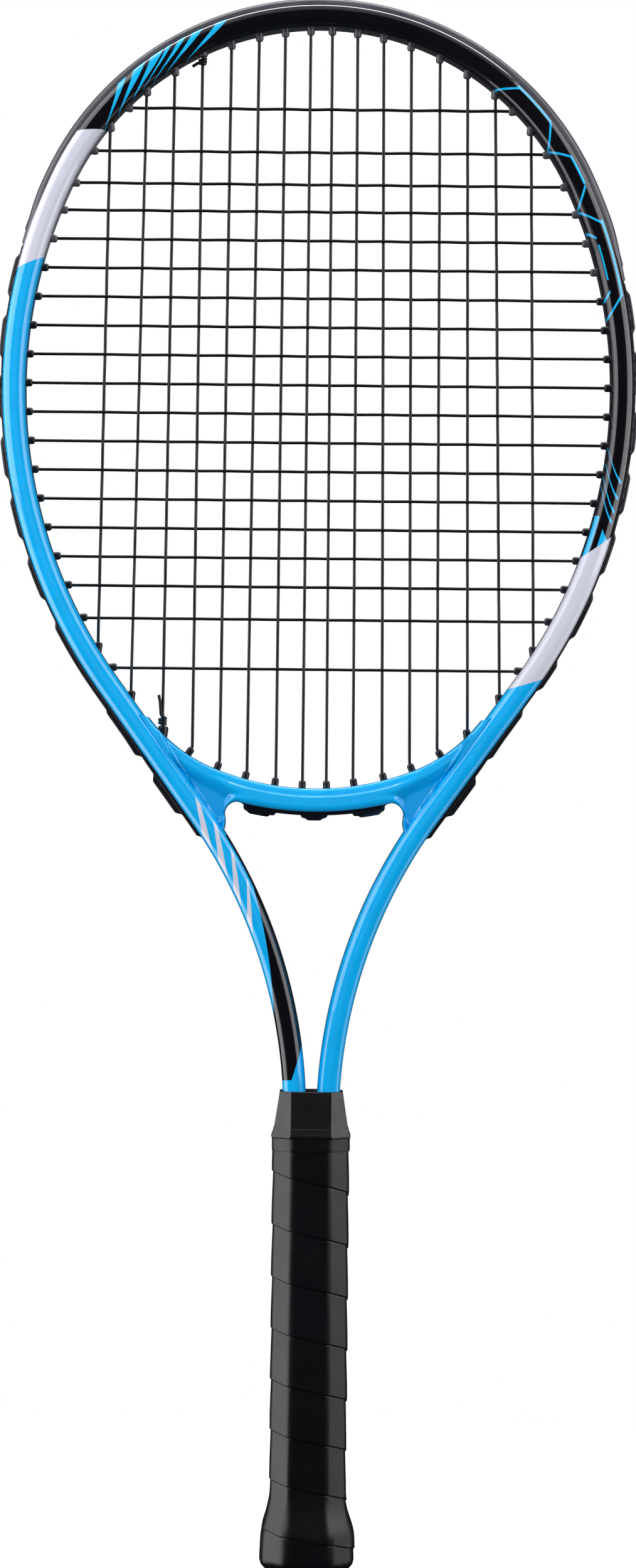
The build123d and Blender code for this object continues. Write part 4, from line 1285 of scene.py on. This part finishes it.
class Shader(Nodes):
    """One material and short ways to build it."""

    def __init__(self, name, roughness, **settings):
        self.material = bpy.data.materials.new(name)
        self.material.use_nodes = True
        super().__init__(self.material.node_tree)
        self.bsdf = self.tree.nodes["Principled BSDF"]
        self.set("Roughness", roughness)
        for label, value in settings.items():
            self.set(label.replace("_", " "), value)

    def set(self, label, value):
        self.fill(self.bsdf.inputs[label], value)

    def field(self, name):
        return self.node("ShaderNodeAttribute", attribute_name=name).outputs["Fac"]

    def position(self):
        return self.node("ShaderNodeTexCoord").outputs["Object"]

    def noise(self, scale, detail=3.0, roughness=0.5, stretch=None):
        place_at = self.position()
        if stretch:
            place_at = self.node("ShaderNodeMapping", {"Vector": place_at, "Scale": stretch}).outputs[0]
        return self.node("ShaderNodeTexNoise", {"Vector": place_at, "Scale": scale, "Detail": detail,
                                                "Roughness": roughness}).outputs["Fac"]

    def cells(self, scale):
        """Pattern of small cells, for pebbled and foamed surfaces."""
        made = self.node("ShaderNodeTexVoronoi", {"Vector": self.position(), "Scale": scale})
        return made.outputs["Distance"]

    def ramp(self, value, low, high):
        """Maps the middle of a noise to low..high."""
        return self.node("ShaderNodeMapRange", {"Value": value, "From Min": 0.3, "From Max": 0.7,
                                                "To Min": low, "To Max": high}).outputs[0]

    def blend(self, share, a, b):
        """Colour a where the share is 0, and colour b where it is 1."""
        made = self.node("ShaderNodeMix", {0: share}, data_type="RGBA")
        for index, value in ((6, a), (7, b)):
            self.fill(made.inputs[index], value if isinstance(value, bpy.types.NodeSocket) else (*value, 1))
        return made.outputs[2]

    def bump(self, height, distance, strength=1.0, under=None):
        links = {"Height": height, "Distance": distance * MM, "Strength": strength}
        if under is not None:
            links["Normal"] = under
        return self.node("ShaderNodeBump", links).outputs[0]


def tint(shade, colour, spread, scale):
    """Colour with a slight uneven depth, as sprayed paint has."""
    darker = tuple(c * (1 - spread) for c in colour)
    lighter = tuple(min(1, c * (1 + spread)) for c in colour)
    return shade.blend(shade.ramp(shade.noise(scale, 3), 0.0, 1.0), darker, lighter)


def lacquer(name, coat_roughness):
    """Sprayed lacquer: faint orange peel, fine scratches and a hard clear coat."""
    shade = Shader(name, 0.18, Coat_Weight=1.0, Coat_Roughness=coat_roughness, Coat_IOR=1.5,
                   Specular_IOR_Level=0.5)
    peel = shade.noise(260, 1.5, 0.4)
    scuffs = shade.noise(130, 4, 0.6, stretch=(1.0, 1.0, 0.3))
    shade.set("Roughness", shade.ramp(scuffs, 0.16, 0.2))
    shade.set("Normal", shade.bump(peel, 0.004, 0.3))
    shade.set("Coat Normal", shade.bump(peel, 0.002, 0.25))
    return shade


def slashes(shade, along, across):
    """Bowed slashes left of the crown that narrow towards the inner side."""
    depth = shade.math("SUBTRACT", HALF_W, across)
    squared = shade.both(depth, depth)
    bowed = shade.scaled(depth, SLASH_SLANT, shade.scaled(squared, SLASH_BOW, along))
    narrowing = shade.scaled(squared, -SLASH_NARROWING, 1.0)
    return shade.any_of([shade.near(bowed, centre, shade.both(narrowing, half)) for centre, half in SLASHES])


def outlines(shade, along, across):
    """Open line figures right of the crown: a line along the tube with a slanted line at each end."""
    leaning_back = shade.scaled(across, -1.0, along)
    leaning_on = shade.scaled(across, 1.2, along)
    hits = []
    for low, high, lane, width in OUTLINES:
        inwards = shade.less(across, lane)
        hits.append(shade.both(shade.near(across, lane, width / 2), shade.inside(along, low, high)))
        hits.append(shade.both(shade.inside(leaning_back, low - 2, low - 0.7), inwards))
        hits.append(shade.both(shade.inside(leaning_on, high + 2.4, high + 3.8), inwards))
    return shade.any_of(hits)


def feathers(shade, along, across):
    """Curved lines and two patches above the right pearl section."""
    curl = shade.scaled(across, FEATHER_SLANT, along)
    curl = shade.scaled(shade.both(across, across), FEATHER_BOW, curl)
    half_width = shade.scaled(across, 0.07, 0.55)
    short_of_edge = shade.less(across, FEATHER_EDGE)
    hits = [shade.both(shade.near(curl, centre, half_width), short_of_edge) for centre in FEATHERS]
    hits.append(shade.both(shade.inside(across, 0.0, FEATHER_EDGE), shade.inside(curl, 296.0, 305.0)))
    hits.append(shade.both(shade.inside(across, -4.6, -2.6), shade.inside(along, 291.0, 312.0)))
    return shade.any_of(hits)


def leg_marks(shade, along, across):
    """Slanted slashes on the front of the left leg."""
    slanted = shade.scaled(across, LEG_SLANT, along)
    face = shade.inside(across, *LEG_FACE)
    return shade.any_of([shade.both(shade.near(slanted, centre, shade.scaled(across, 0.35, half)), face)
                         for centre, half in LEG_MARKS])


def leg_stripe(shade, along, across):
    """Black stripe on the inner side of the left leg that widens down to the handle."""
    below = shade.math("MAXIMUM", shade.math("SUBTRACT", STRIPE_WIDENS, along), 0.0)
    stripe = shade.less(across, shade.scaled(below, STRIPE_SPREAD, STRIPE_EDGE))
    stripe = shade.both(stripe, shade.less(along, STRIPE_START))
    inwards = shade.math("MAXIMUM", shade.math("SUBTRACT", 0.9, across), 0.0)
    end = shade.scaled(inwards, 2.4, STRIPE_END)
    return shade.both(stripe, shade.math("GREATER_THAN", along, end))


def frame_paint():
    """Jet crown, pearl and blue sections, and plain marks."""
    shade = lacquer("frame_paint", 0.05)
    along = shade.field("along")
    across = shade.field("across")
    pearl = tint(shade, PEARL, 0.02, 90)
    blue = tint(shade, BLUE, 0.05, 120)
    marks = shade.any_of([draw(shade, along, across) for draw in (slashes, outlines, feathers)])
    colour = shade.blend(marks, tint(shade, JET, 0.2, 60), tint(shade, CYAN, 0.06, 160))
    sections = [(LEFT_PEARL, pearl), (LEFT_BLUE, blue), (RIGHT_PEARL, pearl), (RIGHT_BLUE, blue)]
    for (limit, slant), paint in sections:
        past = shade.math("SUBTRACT", shade.scaled(across, slant, along), limit)
        beyond = shade.math("LESS_THAN" if limit < 0 else "GREATER_THAN", past, 0)
        colour = shade.blend(beyond, colour, paint)
    colour = shade.blend(leg_marks(shade, along, across), colour, pearl)
    colour = shade.blend(leg_stripe(shade, along, across), colour, JET)
    shade.set("Base Color", colour)
    return shade.material


def bridge_paint():
    """Blue lacquer, with painted shade: a darker blue over the hollow webs."""
    shade = lacquer("bridge_paint", 0.025)
    # Painted shade: a darker blue where the web is hollow
    shaded_web_blue = tint(shade, WEB_SHADE_BLUE, 0.05, 120)
    shade.set("Base Color", shade.blend(shade.field("sunk"), tint(shade, BLUE, 0.05, 120), shaded_web_blue))
    return shade.material


def moulded(name, colour, rough, grain, grain_depth, **settings):
    """Moulded plastic or rubber: uneven depth of colour, fine grain and scuffs."""
    shade = Shader(name, rough[0], **settings)
    shade.set("Base Color", tint(shade, colour, 0.25, 70))
    shade.set("Roughness", shade.ramp(shade.noise(260, 4, 0.6), *rough))
    fine = shade.bump(shade.noise(grain, 3, 0.6), grain_depth, 0.6)
    shade.set("Normal", shade.bump(shade.noise(grain / 9, 2, 0.5), grain_depth * 2.5, 0.35, fine))
    return shade.material


def string_filament():
    """Smooth black filament with a thin coating."""
    shade = Shader("string_filament", 0.24, Coat_Weight=0.35, Coat_Roughness=0.12, Specular_IOR_Level=0.6)
    shade.set("Base Color", tint(shade, STRING_BLACK, 0.3, 240))
    shade.set("Roughness", shade.ramp(shade.noise(700, 3), 0.2, 0.34))
    shade.set("Normal", shade.bump(shade.noise(1500, 2), 0.01, 0.5))
    return shade.material


def grip_leather():
    """Tacky synthetic leather: pebbled grain and handled patches."""
    shade = Shader("grip_leather", 0.34, Specular_IOR_Level=0.62)
    shade.set("Base Color", tint(shade, GRIP_BLACK, 0.3, 45))
    shade.set("Roughness", shade.ramp(shade.noise(95, 4, 0.6), 0.3, 0.38))
    grain = shade.bump(shade.cells(2100.0), 0.035, 0.45)
    shade.set("Normal", shade.bump(shade.noise(160, 3), 0.12, 0.3, grain))
    return shade.material


def foam_core():
    """Pale foamed plastic of the handle's core."""
    shade = Shader("foam_core", 0.85)
    shade.set("Base Color", tint(shade, FOAM, 0.15, 150))
    shade.set("Normal", shade.bump(shade.cells(900.0), 0.15, 0.8))
    return shade.material


def plated_steel():
    """Plated steel of the screws and staples, unevenly polished."""
    shade = Shader("plated_steel", 0.3, Metallic=1.0)
    shade.set("Base Color", tint(shade, STEEL, 0.1, 300))
    shade.set("Roughness", shade.ramp(shade.noise(500, 4, 0.7), 0.22, 0.42))
    shade.set("Normal", shade.bump(shade.noise(1200, 2), 0.01, 0.5))
    return shade.material


def badge_enamel():
    """Blue enamel disc with a pearl ring and a grey rim."""
    shade = Shader("badge_enamel", 0.2, Coat_Weight=0.8, Coat_Roughness=0.05)
    split = shade.node("ShaderNodeSeparateXYZ", {"Vector": shade.position()})
    flat = shade.node("ShaderNodeCombineXYZ", {"X": split.outputs["X"], "Y": split.outputs["Y"]})
    radius = shade.node("ShaderNodeVectorMath", {0: flat.outputs[0]}, operation="LENGTH").outputs["Value"]
    radius = shade.math("DIVIDE", radius, MM)
    colour = shade.blend(shade.inside(radius, 5.6, 6.9), tint(shade, BLUE, 0.05, 200), PEARL)
    colour = shade.blend(shade.math("GREATER_THAN", radius, 9.4), colour, BADGE_GREY)
    shade.set("Base Color", colour)
    shade.set("Normal", shade.bump(shade.noise(600, 2), 0.01, 0.4))
    return shade.material


# ---- studio
def make_panels():
    """Large soft panels at both sides, above and in front, out of the camera's sight."""
    for name, at, facing, width, height, radiance, glossy in PANELS:
        light = bpy.data.lights.new(name, "AREA")
        light.shape = "RECTANGLE"
        light.size = width
        light.size_y = height
        light.energy = radiance * math.pi * width * height
        light.color = PANEL_COLOUR
        panel = bpy.data.objects.new(name, light)
        panel.location = at
        panel.rotation_euler = Vector(facing).to_track_quat("-Z", "Y").to_euler()
        panel.visible_camera = False
        panel.visible_glossy = glossy
        bpy.context.scene.collection.objects.link(panel)


def make_world():
    """White surroundings for the camera; for the racket, a soft light above and a little fill."""
    world = bpy.data.worlds.new("studio")
    bpy.context.scene.world = world
    world.use_nodes = True
    world.node_tree.nodes.clear()
    tree = Nodes(world.node_tree)
    direction = tree.node("ShaderNodeTexCoord").outputs["Generated"]
    upwards = tree.node("ShaderNodeVectorMath", {0: direction, 1: (0, 0, 1)}, operation="DOT_PRODUCT")
    edge = tree.node("ShaderNodeMapRange", {
        "Value": upwards.outputs["Value"],
        "From Min": math.cos(math.radians(TOP_LIGHT_ANGLE + TOP_LIGHT_SOFTNESS)),
        "From Max": math.cos(math.radians(TOP_LIGHT_ANGLE - TOP_LIGHT_SOFTNESS)),
    }, interpolation_type="SMOOTHSTEP")
    above = tree.node("ShaderNodeVectorMath", {0: TOP_LIGHT, "Scale": edge.outputs[0]}, operation="SCALE")
    total = tree.node("ShaderNodeVectorMath", {0: above.outputs[0], 1: FILL}, operation="ADD")
    lit = tree.node("ShaderNodeBackground", {"Color": total.outputs[0]})
    seen = tree.node("ShaderNodeBackground", {"Color": (1, 1, 1, 1)})
    by_camera = tree.node("ShaderNodeLightPath").outputs["Is Camera Ray"]
    choice = tree.node("ShaderNodeMixShader", {0: by_camera, 1: lit.outputs[0], 2: seen.outputs[0]})
    tree.node("ShaderNodeOutputWorld", {"Surface": choice.outputs[0]})


def make_floor():
    """Plain pale round floor under the butt."""
    shade = Shader("floor", 0.6)
    shade.set("Base Color", tint(shade, (0.9, 0.9, 0.9), 0.01, 4))
    shade.set("Emission Color", (1, 1, 1, 1))
    shade.set("Emission Strength", FLOOR_GLOW)
    mesh = bpy.data.meshes.new("floor")
    disc = bmesh.new()
    bmesh.ops.create_circle(disc, cap_ends=True, radius=FLOOR_RADIUS, segments=96)
    bmesh.ops.translate(disc, verts=disc.verts, vec=(0, 0, -FLOOR_DROP))
    disc.to_mesh(mesh)
    disc.free()
    mesh.materials.append(shade.material)
    floor = bpy.data.objects.new("floor", mesh)
    bpy.context.scene.collection.objects.link(floor)
    floor.visible_diffuse = False
    floor.visible_glossy = False


def make_camera():
    """Level camera in front; the racket leans a little to the right in its view."""
    data = bpy.data.cameras.new("camera")
    data.sensor_width = SENSOR
    data.lens = SENSOR * CAMERA_DISTANCE / LENGTH
    camera = bpy.data.objects.new("camera", data)
    camera.location = Vector((CAMERA_X, -CAMERA_DISTANCE, LENGTH / 2)) * MM
    camera.rotation_euler = (math.radians(90), math.radians(-CAMERA_LEAN), 0)
    bpy.context.scene.collection.objects.link(camera)
    bpy.context.scene.camera = camera


def finish_node(frame, name, material):
    """Gives a CAD node that stays in view its finish."""
    node = frame["nodes"][name]
    node.data.materials.clear()
    node.data.materials.append(material)


def make_head():
    """Tube, bridge, guards and strings."""
    strip_nylon = moulded("strip_nylon", STRIP_BLACK, (0.22, 0.36), 1300, 0.02, Specular_IOR_Level=0.55)
    filament = string_filament()
    make_tube(frame_paint())
    make_bridge(bridge_paint())
    make_bumper(moulded("bumper_plastic", BUMPER_GREY, (0.25, 0.35), 1500, 0.02, Specular_IOR_Level=0.8))
    make_strip(-1, strip_nylon)
    make_strip(1, strip_nylon)
    make_bridge_strip(strip_nylon)
    make_bushes(strip_nylon)
    make_string(filament)
    make_knots(filament)


def make_handle():
    """What is wound and pulled over the handle."""
    make_grip(grip_leather())
    make_tape(moulded("tape_vinyl", TAPE_BLACK, (0.3, 0.42), 900, 0.02, Specular_IOR_Level=0.6))
    make_collar(moulded("collar_rubber", COLLAR_BLACK, (0.34, 0.44), 1400, 0.02, Specular_IOR_Level=0.75))


def finish_cad_nodes(frame):
    """The CAD pieces that stay in view as they are."""
    steel = plated_steel()
    foam = foam_core()
    finish_node(frame, "bridge_screws", steel)
    finish_node(frame, "butt_staples", steel)
    finish_node(frame, "pallet_front", foam)
    finish_node(frame, "pallet_back", foam)
    finish_node(frame, "butt_cap", moulded("cap_plastic", CAP_BLACK, (0.35, 0.5), 900, 0.05))
    finish_node(frame, "butt_badge", badge_enamel())


def main():
    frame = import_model()
    bpy.context.scene.view_settings.view_transform = "Standard"
    make_head()
    make_handle()
    finish_cad_nodes(frame)
    make_world()
    make_panels()
    make_floor()
    make_camera()


main()
